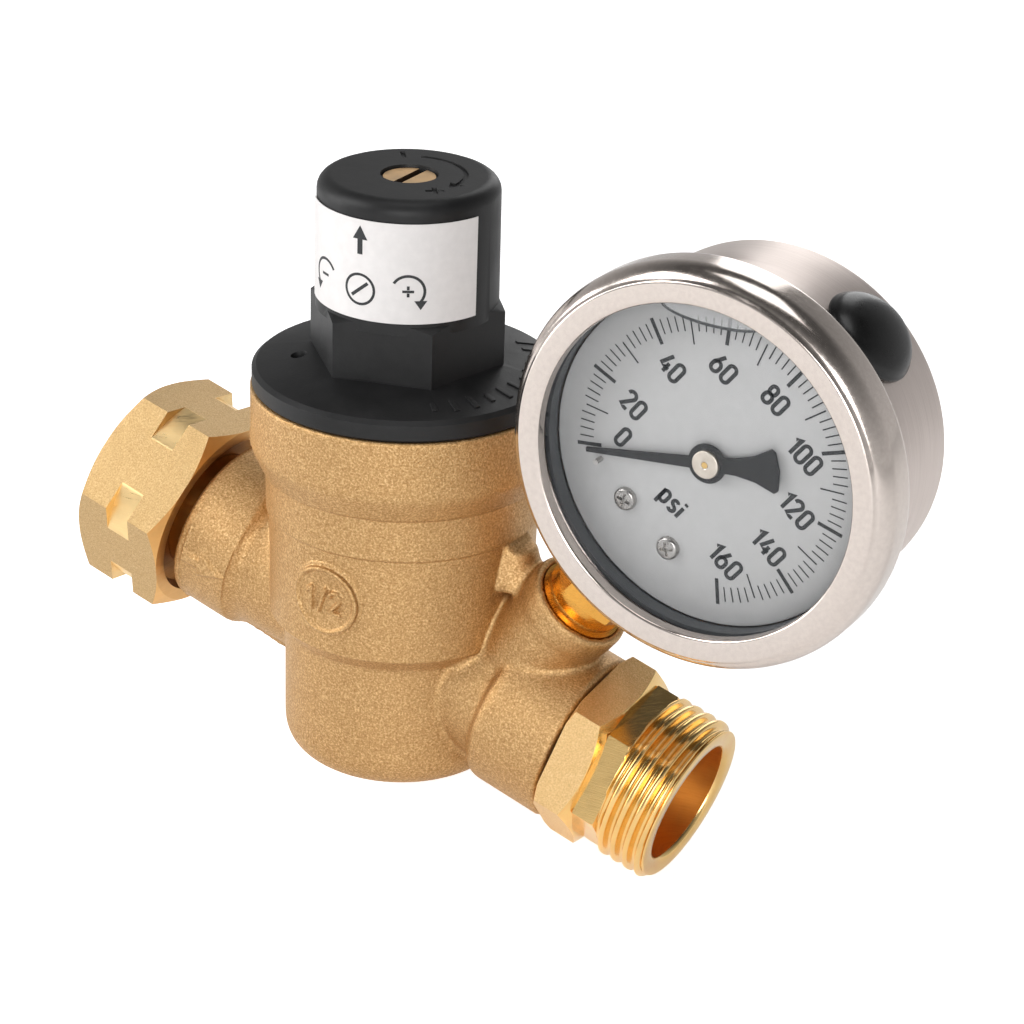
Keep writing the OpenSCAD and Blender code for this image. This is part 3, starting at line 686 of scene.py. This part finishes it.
def inlet_nut():
    """Forged swivel nut with its turned corner notches, lip and female helical thread."""
    nut = hex_bar("nut_shell", 31.5, NUT_LEFT, NUT_RIGHT, 2.4, 2.4, 20.5, PIPE, edge=0)
    ring = lathe("ring", [(16.3, GROOVE[0]), (21, GROOVE[0]), (21, GROOVE[1]), (16.3, GROOVE[1])], PIPE, 128,
                 closed=True)
    boolean(nut, ring, "DIFFERENCE")
    inside = lathe("inside", [(0, NUT_LEFT - 1), (14.0, NUT_LEFT - 1), (14.0, NUT_LEFT + 0.2),
                              (13.5, NUT_LEFT + 0.7), (13.5, NUT_LEFT + 6.3), (12.75, NUT_LEFT + 6.5), (12.75, -42.0), (10.08, -42.0),
                              (10.08, NUT_RIGHT - 2.2), (13.2, NUT_RIGHT - 2.0), (14.2, NUT_RIGHT + 1),
                              (0, NUT_RIGHT + 1)], PIPE, 128)
    boolean(nut, inside, "DIFFERENCE")
    soften(nut, 0.22)
    finish_piece(nut, FORGED, "swivel_nut", "inlet_nut")
    nut.data.materials.append(NOTCH_BRASS)
    nut.data.materials.append(GAP_SHADE_BRASS)
    nut.data.materials.append(CHAMFER_BRASS)
    inverse = PIPE.inverted()
    corners = [(inverse @ v.co) / MM for v in nut.data.vertices]
    for poly in nut.data.polygons:
        depths = [corners[i].z for i in poly.vertices]
        r = max(math.hypot(corners[i].x, corners[i].y) for i in poly.vertices)
        if GROOVE[0] - 0.05 < min(depths) and max(depths) < GROOVE[1] + 0.05 and r > 15:
            poly.material_index = 1
        # faces inside the nut take the very dark brass: painted shade
        elif r < 14.3 and min(depths) > NUT_LEFT - 0.01:
            poly.material_index = 2
        elif min(depths) > NUT_RIGHT - 2.6 and abs((inverse.to_3x3() @ poly.normal).z) > 0.35:
            poly.material_index = 3
    thread = helical_thread("nut_thread", 13.5, 12.35, NUT_LEFT + 0.7, NUT_LEFT + 6.4, PIPE)
    finish_piece(thread, TURNED_PIPE, "swivel_nut", "inlet_nut")


def strainer_screen():
    """Woven wire screen of the inlet washer: a rim and a domed net."""
    rim = lathe("screen_rim", [(8.3, -47.0), (12.1, -47.0), (12.1, -46.62), (8.3, -46.62)], PIPE, 96, closed=True)
    finish_piece(rim, RUBBER, "valve", "inlet_strainer")
    verts, faces = [], []
    rings, spokes = 14, 40
    for i in range(rings + 1):
        t = i / rings
        r = 0.35 + (6.5 - 0.35) * t if t < 0.75 else 5.0 + (8.3 - 5.0) * (t - 0.75) / 0.25
        z = -39.0 - 7.8 * max(0.0, (t - 0.45) / 0.55) ** 1.6
        for k in range(spokes):
            a = 2 * math.pi * (k + 0.5 * (i % 2)) / spokes
            verts.append((r * math.cos(a), r * math.sin(a), z))
    for i in range(rings):
        for k in range(spokes):
            a, b = i * spokes + k, (i + 1) * spokes + k
            c, d = (i + 1) * spokes + (k + 1) % spokes, i * spokes + (k + 1) % spokes
            faces.append((a, b, c, d))
    net = build("screen_net", verts, faces, PIPE)
    mod = net.modifiers.new("wire", "WIREFRAME")
    mod.thickness = 0.22 * MM
    mod.use_even_offset = False
    apply_all(net)
    finish_piece(net, STEEL, "valve", "inlet_strainer")


# ---- cap
CAP_TOP = 75.4
TOWER_R = 13.75
BODY_TOP = 42.0


def cap():
    """Moulded cap: flange, hexagon, tower, sunk adjustment marks and a raised dashed ring."""
    obj = copy_node("cartridge_cap", "cap_moulding")
    soften(obj, 0.25, angle=24)
    finish_piece(obj, PLASTIC, "valve", "cartridge_cap")
    dashes = []
    for i, turn in enumerate(range(-44, 62, 9)):
        r = 19.6
        tall = 3.0 if i % 3 else 2.0
        outline = box_outline(0, 0, 0.42, -tall / 2, tall / 2)
        rise = BODY_TOP + 3.3 + (22.8 - r) * 1.7 / 7.8
        place = Matrix.Rotation(math.radians(turn), 4, "Z") @ Matrix.Translation((r * MM, 0, rise * MM)) \
            @ Matrix.Rotation(math.radians(12), 4, "Y") @ Matrix.Rotation(math.radians(90), 4, "Z")
        dashes.append(slab("dash", outline, -0.4, 0.22, place, bevel=0.12))
    marks = join("flange_dashes", dashes)
    shade_by_angle(marks, 40)
    finish_piece(marks, PLASTIC, "valve")


def bend_on_tower(x, z, r):
    """A point of the label: x millimetres round the tower from straight ahead (-Y)."""
    a = math.radians(-90) + x / TOWER_R
    return (r * math.cos(a), r * math.sin(a), z)


LABEL_R = TOWER_R + 0.27
LABEL_LOW, LABEL_HIGH = 56.9, 72.3
LABEL_START, LABEL_END = math.radians(-140 + 90) * TOWER_R, math.radians(-10 + 90) * TOWER_R


def on_label(name, outline, material):
    """A flat printed shape wrapped on the label, a hair proud of it."""
    fine = []
    for (ax, ay), (bx, by) in zip(outline, outline[1:] + outline[:1]):
        cuts = max(1, int(abs(bx - ax) / 0.6))
        fine += [(ax + (bx - ax) * i / cuts, ay + (by - ay) * i / cuts) for i in range(cuts)]
    flat = slab(name, fine, 0, 0.02)
    bm = bmesh.new()
    bm.from_mesh(flat.data)
    for f in list(bm.faces):
        if len(f.verts) > 4:
            bmesh.ops.triangulate(bm, faces=[f])
    for v in bm.verts:
        x, y, z = v.co / MM
        v.co = Vector(bend_on_tower(x, y, LABEL_R + 0.005 + z)) * MM
    bm.to_mesh(flat.data)
    bm.free()
    return flat


def ring_outline(cx, cy, r, w, a0, a1, n=20):
    """Outline of a curved stroke."""
    return arc(cx, cy, r + w / 2, a0, a1, n) + arc(cx, cy, r - w / 2, a1, a0, n)


def label():
    """White film wrapped on the tower with a generic arrow and turn marks in place of any words."""
    steps = 60
    verts, faces = [], []
    for i in range(steps + 1):
        x = LABEL_START + (LABEL_END - LABEL_START) * i / steps
        for r in (TOWER_R + 0.16, LABEL_R):
            verts += [bend_on_tower(x, LABEL_LOW, r), bend_on_tower(x, LABEL_HIGH, r)]
    for i in range(steps):
        a, b = 4 * i, 4 * i + 4
        faces += [(a, a + 1, b + 1, b), (a + 2, b + 2, b + 3, a + 3), (a, b, b + 2, a + 2),
                  (a + 1, a + 3, b + 3, b + 1)]
    end = 4 * steps
    faces += [(0, 2, 3, 1), (end, end + 1, end + 3, end + 2)]
    film = build("label_film", verts, faces)
    shade_by_angle(film)
    finish_piece(film, LABEL_FILM, "valve", "cap_label")
    shapes = []
    ax, ay = 0.9, 67.0
    shapes.append([(ax - 0.42, ay), (ax + 0.42, ay), (ax + 0.42, ay + 2.3), (ax + 1.2, ay + 2.3), (ax, ay + 4.4),
                   (ax - 1.2, ay + 2.3), (ax - 0.42, ay + 2.3)])
    for side, cx in ((-1, -6.2), (1, 8.2)):
        cy = 62.0
        shapes.append(ring_outline(cx, cy, 2.4, 0.42, 90 - side * 130, 90 + side * 60))
        end = math.radians(90 - side * 130)
        ex, ey = cx + 2.4 * math.cos(end), cy + 2.4 * math.sin(end)
        shapes.append([(ex - 0.95, ey + 0.1), (ex + 0.95, ey + 0.1), (ex, ey - 1.3)])
        shapes.append(box_outline(cx, cy, 0.85, -0.2, 0.2))
        if side > 0:
            shapes.append(box_outline(cx, cy, 0.2, 0.25, 0.85))
            shapes.append(box_outline(cx, cy, 0.2, -0.85, -0.25))
    cx, cy = 0.9, 61.6
    shapes.append(ring_outline(cx, cy, 2.3, 0.4, 0, 180))
    shapes.append(ring_outline(cx, cy, 2.3, 0.4, 180, 360))
    slot_dir = Vector((math.cos(math.radians(40)), math.sin(math.radians(40))))
    side_dir = Vector((-slot_dir.y, slot_dir.x))
    shapes.append([tuple(Vector((cx, cy)) + slot_dir * (u * 1.7) + side_dir * (v * 0.25))
                   for u, v in ((-1, -1), (1, -1), (1, 1), (-1, 1))])
    prints = join("label_print", [on_label("mark", s, DIAL_PRINT) for s in shapes])
    finish_piece(prints, DIAL_PRINT, "valve")


# ---- gauge
BEZEL_R = 29.6
CASE_R = 26.2
CASE_BACK = -5.5
BEZEL_BACK = 13.0
BEZEL_FRONT = 21.4
WINDOW_R = 24.3
DIAL_FACE = 15.2
GLASS_BACK = 17.6


def gauge_case():
    """Drawn stainless can with a rounded back edge and a shallow ring pressed in its back."""
    back = [(0, CASE_BACK), (18.5, CASE_BACK), (19.0, CASE_BACK + 0.35), (20.6, CASE_BACK + 0.35),
            (21.1, CASE_BACK)]
    profile = back + arc(CASE_R - 1.8, CASE_BACK + 1.8, 1.8, -90, 0) + [(CASE_R, 0), (CASE_R, 5), (CASE_R, 14.3)]
    obj = lathe("case_can", profile, DIAL, 192)
    shade_by_angle(obj, 30)
    finish_piece(obj, CASE_STEEL, "valve", "gauge_case")
    inner = lathe("case_inner_wall", [(CASE_R - 0.8, DIAL_FACE - 1.2), (CASE_R - 0.8, GLASS_BACK)], DIAL, 128)
    finish_piece(inner, INNER_RING, "valve")


def gauge_bezel():
    """Rolled bezel: flat front ring, rounded shoulder, curled back edge."""
    profile = [(CASE_R + 0.05, BEZEL_BACK)] + arc(BEZEL_R - 1.9, BEZEL_BACK + 1.9, 1.9, -90, 0, 8)
    profile += [(BEZEL_R, 16.6)] + arc(BEZEL_R - 3.6, BEZEL_FRONT - 3.6, 3.6, 0, 62, 10)
    profile += arc(27.1, BEZEL_FRONT - 0.75, 0.75, 55, 90, 4) + [(25.4, BEZEL_FRONT - 0.12)]
    profile += arc(WINDOW_R + 0.5, BEZEL_FRONT - 0.65, 0.5, 90, 180, 6) + [(WINDOW_R, GLASS_BACK + 1.9)]
    obj = lathe("bezel_ring", profile, DIAL, 192)
    shade_by_angle(obj, 34)
    finish_piece(obj, BEZEL_STEEL, "valve", "gauge_bezel")


def window():
    """Flat glass with a ground edge, and a soft gasket ring behind it."""
    pane = lathe("window_pane", [(0, GLASS_BACK), (26.5, GLASS_BACK), (26.7, GLASS_BACK + 0.2),
                                 (26.7, GLASS_BACK + 1.6), (26.5, GLASS_BACK + 1.8), (0, GLASS_BACK + 1.8)], DIAL)
    shade_by_angle(pane, 30)
    finish_piece(pane, GLASS, "valve", "gauge_window")
    ring = lathe("window_gasket", [(WINDOW_R + 0.35, DIAL_FACE + 0.15), (25.3, DIAL_FACE + 0.15),
                                   (25.3, GLASS_BACK), (WINDOW_R + 0.35, GLASS_BACK)], DIAL, closed=True)
    shade_by_angle(ring, 30)
    finish_piece(ring, GASKET, "valve", "bezel_gasket")


def polar(r, degrees):
    """Dial position at an angle clockwise from 12 o'clock."""
    a = math.radians(degrees)
    return (r * math.sin(a), r * math.cos(a))


def scale_angle(value):
    """Degrees clockwise from 12 o'clock for a reading."""
    return -135 + 270 * value / 160


def bar(p, q, width):
    """Rectangle outline between two points."""
    d = Vector((q[0] - p[0], q[1] - p[1])).normalized() * width / 2
    return [(p[0] + d.y, p[1] - d.x), (q[0] + d.y, q[1] - d.x),
            (q[0] - d.y, q[1] + d.x), (p[0] - d.y, p[1] + d.x)]


def ribbon(points, width, closed=False):
    """Faces of a flat stroke of even width along a centre line: (verts, faces) in 2-D."""
    n = len(points)
    verts = []
    for i, p in enumerate(points):
        before = points[i - 1] if i or closed else points[i]
        after = points[(i + 1) % n] if i < n - 1 or closed else points[i]
        d = Vector((after[0] - before[0], after[1] - before[1])).normalized()
        back = Vector((p[0] - before[0], p[1] - before[1]))
        mitre = 1.0
        if back.length > 1e-6:
            mitre = 1 / max(0.6, abs(back.normalized().dot(d)))
        side = Vector((-d.y, d.x)) * width / 2 * mitre
        verts += [(p[0] + side.x, p[1] + side.y), (p[0] - side.x, p[1] - side.y)]
    faces = [(2 * i, 2 * i + 1, 2 * ((i + 1) % n) + 1, 2 * ((i + 1) % n))
             for i in range(n if closed else n - 1)]
    return verts, faces


def oval(cx, cy, rx, ry, n=28):
    """A tall round-ended loop."""
    straight = ry - rx
    top = [(cx + rx * math.cos(a), cy + straight + rx * math.sin(a))
           for a in [math.pi * i / (n // 2) for i in range(n // 2 + 1)]]
    return top + [(2 * cx - x, 2 * cy - y) for x, y in top]


GLYPH_H = 3.0
STROKE = 0.58
GLYPHS = {
    "0": [(oval(0.64, 1.5, 0.64, 1.5), True)],
    "1": [([(0.15, 2.25), (0.82, 3.0), (0.82, 1.5), (0.82, 0.0)], False)],
    "2": [(arc(0.64, 2.34, 0.66, 178, -28, 10) + [(0.0, 0.0), (0.7, 0.0), (1.32, 0.0)], False)],
    "4": [([(0.80, 3.0), (0.0, 0.78), (0.7, 0.78), (1.45, 0.78)], False),
          ([(1.02, 1.65), (1.02, 0.8), (1.02, 0.0)], False)],
    "6": [(oval(0.64, 0.86, 0.64, 0.86), True), ([(0.86, 3.0), (0.45, 2.05), (0.05, 1.15)], False)],
    "8": [(oval(0.64, 2.28, 0.54, 0.72), True), (oval(0.64, 0.80, 0.64, 0.80), True)],
    "p": [([(0.0, 2.0), (0.0, 0.5), (0.0, -0.85)], False), (oval(0.55, 1.0, 0.55, 1.0), True)],
    "s": [(arc(0.52, 1.52, 0.46, 30, 240, 8) + arc(0.52, 0.50, 0.50, 70, -150, 10), False)],
    "i": [([(0.1, 2.0), (0.1, 1.0), (0.1, 0.0)], False), ([(0.1, 2.95), (0.1, 2.8), (0.1, 2.5)], False)],
}
ADVANCE = {"1": 1.62, "i": 0.85, "s": 1.7, "p": 1.85}


def lettering(text, cx, cy, size=1.0):
    """Stroke numerals centred on a point of the dial: (verts, faces)."""
    width = sum(ADVANCE.get(c, 2.05) for c in text) - 0.75
    x = cx - width * size / 2
    verts, faces = [], []
    for c in text:
        for line, closed in GLYPHS[c]:
            pts = [(x + px * size, cy + (py - GLYPH_H / 2) * size) for px, py in line]
            v, f = ribbon(pts, STROKE * size, closed)
            faces += [tuple(k + len(verts) for k in face) for face in f]
            verts += v
        x += ADVANCE.get(c, 2.05) * size
    return verts, faces


NUMERAL_SPOTS = {0: (-11.0, -8.6), 20: (-13.1, -3.6), 80: (0.2, 14.6), 100: (8.3, 12.2), 140: (14.0, -2.2),
                 160: (11.4, -9.3)}


def dial_print():
    """Scale and numerals as one thin printed layer."""
    verts, faces = [], []

    def add(points, polygons):
        faces.extend(tuple(k + len(verts) for k in polygon) for polygon in polygons)
        verts.extend((x, y, DIAL_FACE + 0.03) for x, y in points)

    for value in range(0, 161, 2):
        a = scale_angle(value)
        inner, outer, width = 18.7, 20.9, 0.19
        if value % 20 == 0:
            inner, outer, width = 17.5, 21.4, 0.55
        elif value % 10 == 0:
            inner, outer, width = 16.8, 20.4, 0.22
        add(bar(polar(inner, a), polar(outer, a), width), [(0, 1, 2, 3)])
        if value % 20 == 0:
            spot = NUMERAL_SPOTS.get(value, polar(14.0, a))
            add(*lettering(str(value), *spot, size=1.0))
    add(*lettering("psi", 0.3, -9.3, size=1.0))
    obj = build("dial_scale", verts, faces, DIAL, smooth=False)
    mod = obj.modifiers.new("ink", "SOLIDIFY")
    mod.thickness = 0.02 * MM
    apply_all(obj)
    finish_piece(obj, DIAL_PRINT, "valve")


def dial_plate():
    """Painted dial with a small turned-up edge."""
    obj = lathe("dial_plate", [(0, DIAL_FACE), (24.2, DIAL_FACE), (24.5, DIAL_FACE - 0.15),
                               (24.5, DIAL_FACE - 0.5), (0, DIAL_FACE - 0.6)], DIAL)
    shade_by_angle(obj, 30)
    finish_piece(obj, DIAL_PAINT, "valve", "gauge_dial")


def dial_screw(x, y, turn):
    """Pan head with a crossed recess."""
    seat = DIAL @ Matrix.Translation((x * MM, y * MM, 0))
    head = lathe("dial_screw", [(0, DIAL_FACE), (1.75, DIAL_FACE), (1.75, DIAL_FACE + 0.25)]
                 + arc(1.15, DIAL_FACE + 0.25, 0.6, 0, 70, 5) + [(0, DIAL_FACE + 0.88)],
                 seat, 48)
    for k in (0, 90):
        place = seat @ Matrix.Rotation(math.radians(turn + k), 4, "Z")
        cutter = slab("cutter", box_outline(0, 0, 1.05, -0.24, 0.24), DIAL_FACE + 0.3, DIAL_FACE + 2, place)
        boolean(head, cutter, "DIFFERENCE")
    shade_by_angle(head, 30)
    return head


def pointer():
    """Black pointer with bevelled edges, and a bright hub."""
    obj = copy_node("pointer", "pointer_blade")
    soften(obj, 0.12)
    finish_piece(obj, POINTER_PAINT, "pointer_group", "pointer")
    hub = lathe("hub_boss", [(0, 16.5), (2.05, 16.5), (2.05, 16.8)] + arc(1.85, 16.8, 0.2, 0, 90, 5)
                + [(0.62, 17.15), (0.5, 17.05), (0.5, 16.6)], DIAL, 64)
    shade_by_angle(hub, 40)
    finish_piece(hub, HUB_METAL, "pointer_group", "pointer_hub")


def liquid_line():
    """The air bubble at the highest part of the window: a dark edge round a pale pane, the pane's paleness a
    painted highlight.
    """
    top = math.degrees(GAUGE_LEAN)
    n = 64
    outer, inner = [], []
    for i in range(n):
        a = 2 * math.pi * i / n
        outer.append((8.1 * math.cos(a), 22.4 + 1.95 * math.sin(a)))
        inner.append((7.55 * math.cos(a), 22.4 + 1.5 * math.sin(a)))
    turn = math.radians(top)

    def spin(p):
        return (p[0] * math.cos(turn) - p[1] * math.sin(turn), p[0] * math.sin(turn) + p[1] * math.cos(turn))

    verts = [(*spin(p), GLASS_BACK - 0.12) for p in outer] + [(*spin(p), GLASS_BACK - 0.05) for p in inner]
    faces = [(i, (i + 1) % n, n + (i + 1) % n, n + i) for i in range(n)]
    edge = build("bubble_edge", verts, faces, DIAL)
    mod = edge.modifiers.new("body", "SOLIDIFY")
    mod.thickness = 0.12 * MM
    apply_all(edge)
    finish_piece(edge, LIQUID_EDGE, "valve")
    # pale pane over the bubble: painted highlight
    air = slab("bubble", [(x, y) for x, y, _ in verts[n:]], GLASS_BACK - 0.13, GLASS_BACK - 0.03, DIAL)
    finish_piece(air, BUBBLE_HIGHLIGHT, "valve")


def fill_plug():
    """Domed rubber plug whose rim follows the round of the case."""
    turn = Matrix.Rotation(math.radians(-4), 4, "Z")
    place = DIAL @ turn @ Matrix.Translation((0, 0, 4.8 * MM)) @ Matrix.Rotation(math.radians(-90), 4, "X")
    profile = [(4.1, CASE_R - 1.0), (4.1, CASE_R), (6.9, CASE_R)]
    profile += arc(6.75, CASE_R + 0.45, 0.45, -60, 60, 6)
    profile += [(7.0 * math.cos(math.radians(a)) - 0.12, CASE_R + 0.75 + 2.35 * math.sin(math.radians(a)))
                for a in range(8, 90, 8)] + [(0.0, CASE_R + 3.1)]
    obj = lathe("plug_dome", profile, WORLD, 96)
    for v in obj.data.vertices:
        x, y, z = v.co / MM
        sag = CASE_R - math.sqrt(max(0.0, CASE_R ** 2 - x * x))
        v.co = place @ (Vector((x, y, z - sag * 0.92)) * MM)
    shade_by_angle(obj, 50)
    finish_piece(obj, PLUG_RUBBER, "valve", "fill_plug")


# ---- main spring
def spring_half(name, low, high):
    """The wire of the main spring between two heights: round wire, closed ends."""
    coils, wire, mean, foot, head = 6.0, 1.2, 9.0, 28.9, 62.0
    steps, sides = 220, 12
    rings = []
    for i in range(steps + 1):
        t = i / steps
        a = -2 * math.pi * (coils + 1.5) * t
        ease = min(1.0, max(0.0, (t * (coils + 1.5) - 0.75) / coils))
        z = foot + wire + (head - foot - 2 * wire) * ease
        if low <= z <= high:
            rings.append((a, z))
    verts, faces = [], []
    for a, z in rings:
        for k in range(sides):
            b = 2 * math.pi * k / sides
            r = mean + wire * math.cos(b)
            verts.append((r * math.cos(a), r * math.sin(a), z + wire * math.sin(b)))
    for i in range(len(rings) - 1):
        for k in range(sides):
            a, b = i * sides + k, i * sides + (k + 1) % sides
            faces.append((a, b, b + sides, a + sides))
    end = (len(rings) - 1) * sides
    faces += [tuple(range(sides)), tuple(range(end, end + sides))]
    obj = build(name, verts, faces)
    obj.data.materials.clear()
    obj.data.materials.append(SPRING)
    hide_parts("main_spring")
    return obj


def main_spring():
    """Compression spring in two halves split at one height: the lower half stays where it is built, the upper half
    rides on the valve body.
    """
    split = 45.45
    lower = spring_half("spring_lower", 0, split + 0.001)
    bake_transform(lower)
    upper = spring_half("spring_upper", split - 0.001, 99)
    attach(upper, "valve")
    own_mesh(upper)


# ---- the assembly
def edge_broken(node, body, material, width=0.15):
    """A CAD node kept in shape, its edges broken and given a finish."""
    obj = copy_node(node, node + "_finished")
    soften(obj, width)
    return finish_piece(obj, material, body, node)


body_casting()
outlet_adapter()
inlet_nut()
strainer_screen()
cap()
label()
gauge_case()
gauge_bezel()
window()
dial_plate()
dial_print()
screws = join("dial_screw_heads", [dial_screw(-4.6, -15.2, 20), dial_screw(4.6, -15.2, 50)])
shade_by_angle(screws, 30)
finish_piece(screws, STEEL, "valve", "dial_screws")
pointer()
liquid_line()
fill_plug()
main_spring()
screw = edge_broken("adjusting_screw", "screw", SCREW_BRASS, 0.12)
screw.data.materials.append(SLOT_SHADE)
for poly in screw.data.polygons:
    depth = CAP_TOP - 0.4 - poly.center.z / MM
    in_head = 0.06 < depth < 1.5 and math.hypot(poly.center.x, poly.center.y) < 3.9 * MM
    if in_head and not 0.3 < abs(poly.normal.z) < 0.9:
        poly.material_index = 1
# gauge stem in the darker brass: painted shade
edge_broken("gauge_stem", "valve", STEM_SHADE_BRASS, 0.2)
# tailpiece inside the nut in very dark brass: painted shade
edge_broken("inlet_tailpiece", "valve", GAP_SHADE_BRASS, 0.2)

CAD_FINISHES = {
    RUBBER: ["hose_washer", "outlet_oring", "cap_gasket", "screw_oring", "piston_oring", "seat_disc",
             "sleeve_upper_oring", "sleeve_lower_oring", "gauge_seal_ring"],
    TURNED: ["spring_nut", "piston", "disc_holder", "cartridge_sleeve", "pinion_shaft", "sector_gear", "hairspring",
             "movement_rear_plate", "movement_front_plate", "movement_posts", "bourdon_tube", "tube_tip"],
    STEEL: ["spring_washer", "piston_stem", "disc_nut", "cartridge_strainer", "stop_pin", "sector_shaft",
            "movement_link"],
    ACETAL: ["thrust_washer", "cartridge_cage"],
}
for finish, names in CAD_FINISHES.items():
    for name in names:
        for slot in NODES[name].material_slots:
            slot.link = "OBJECT"
            slot.material = finish

# ---- studio
FLOOR_Z = CAD_BOX[0][2]
FLOOR_HALF = 3.0
FLOOR_GLOW = (0.25, 0.72)                # towards the object, and as the camera sees it
SKY_LEVELS = ((0.0, 0.58), (0.8, 0.08))  # height and brightness


def studio():
    """Pale floor and a bright, slightly graded sky."""
    half = FLOOR_HALF
    mesh = bpy.data.meshes.new("floor")
    corners = [(-half, -half, 0), (half, -half, 0), (half, half, 0), (-half, half, 0)]
    mesh.from_pydata(corners, [], [(0, 1, 2, 3)])
    floor = new_object("floor", mesh)
    floor.location.z = FLOOR_Z - 0.0005
    paper = painted("paper", (0.93, 0.93, 0.93), 0.6)
    shader = paper.node_tree.nodes["Principled BSDF"]
    shader.inputs["Emission Color"].default_value = (1, 1, 1, 1)
    seen = paper.node_tree.nodes.new("ShaderNodeLightPath")
    glow = paper.node_tree.nodes.new("ShaderNodeMapRange")
    glow.inputs["To Min"].default_value, glow.inputs["To Max"].default_value = FLOOR_GLOW
    paper.node_tree.links.new(seen.outputs["Is Camera Ray"], glow.inputs["Value"])
    paper.node_tree.links.new(glow.outputs["Result"], shader.inputs["Emission Strength"])
    shader.inputs["Specular IOR Level"].default_value = 0.1
    mesh.materials.append(paper)
    world = bpy.data.worlds.new("studio")
    world.use_nodes = True
    bpy.context.scene.world = world
    tree = world.node_tree
    background = tree.nodes["Background"]
    coords = tree.nodes.new("ShaderNodeTexCoord")
    split = tree.nodes.new("ShaderNodeSeparateXYZ")
    ramp = tree.nodes.new("ShaderNodeValToRGB")
    tree.links.new(coords.outputs["Generated"], split.inputs["Vector"])
    tree.links.new(split.outputs["Z"], ramp.inputs["Fac"])
    tree.links.new(ramp.outputs["Color"], background.inputs["Color"])
    for element, (position, level) in zip(ramp.color_ramp.elements, SKY_LEVELS):
        element.position = position
        element.color = (level, level, level, 1)
    backdrop = tree.nodes.new("ShaderNodeBackground")
    rays = tree.nodes.new("ShaderNodeLightPath")
    mix = tree.nodes.new("ShaderNodeMixShader")
    tree.links.new(rays.outputs["Is Camera Ray"], mix.inputs["Fac"])
    tree.links.new(background.outputs["Background"], mix.inputs[1])
    backdrop.inputs["Color"].default_value = (1, 1, 1, 1)
    tree.links.new(backdrop.outputs["Background"], mix.inputs[2])
    tree.links.new(mix.outputs["Shader"], tree.nodes["World Output"].inputs["Surface"])


def soft_box(name, place, aim, size, watts, tall=None):
    """A rectangular area light aimed at a point."""
    light = bpy.data.lights.new(name, "AREA")
    light.shape = "RECTANGLE"
    light.size = size
    light.size_y = tall or size
    light.energy = watts
    obj = bpy.data.objects.new(name, light)
    bpy.context.scene.collection.objects.link(obj)
    obj.location = place
    obj.rotation_euler = (Vector(aim) - Vector(place)).to_track_quat("-Z", "Y").to_euler()


def camera():
    """The product view: slightly above, from the dial side, with a long lens."""
    data = bpy.data.cameras.new("camera")
    data.lens = 101.66
    data.sensor_width = 36
    data.clip_start = 0.02
    obj = bpy.data.objects.new("camera", data)
    bpy.context.scene.collection.objects.link(obj)
    back = Vector((0.47186, -0.77433, 0.42161)).normalized()
    right = Vector((0.84567, 0.53275, 0.03200))
    right = (right - back * right.dot(back)).normalized()
    turn = Matrix((right, back.cross(right), back)).transposed()
    obj.matrix_world = Matrix.Translation((0.22726, -0.34042, 0.21092)) @ turn.to_4x4()
    bpy.context.scene.camera = obj


studio()
soft_box("key_left", (-0.60, -0.55, 0.60), (0.02, 0, 0.02), 0.5, 4.2)
soft_box("front", (0.45, -0.85, 0.30), (0.02, 0, 0.02), 0.5, 4.4)
soft_box("left_low", (-0.8, -0.35, 0.15), (0.02, 0, 0.02), 0.4, 2.2)
soft_box("back_strip", (-0.2, 0.8, 0.4), (0.02, 0, 0.03), 0.3, 1.3, 0.8)
soft_box("top", (0.05, -0.05, 0.9), (0.02, 0, 0.02), 0.5, 1.6)
camera()
bpy.context.scene.view_settings.view_transform = "Standard"
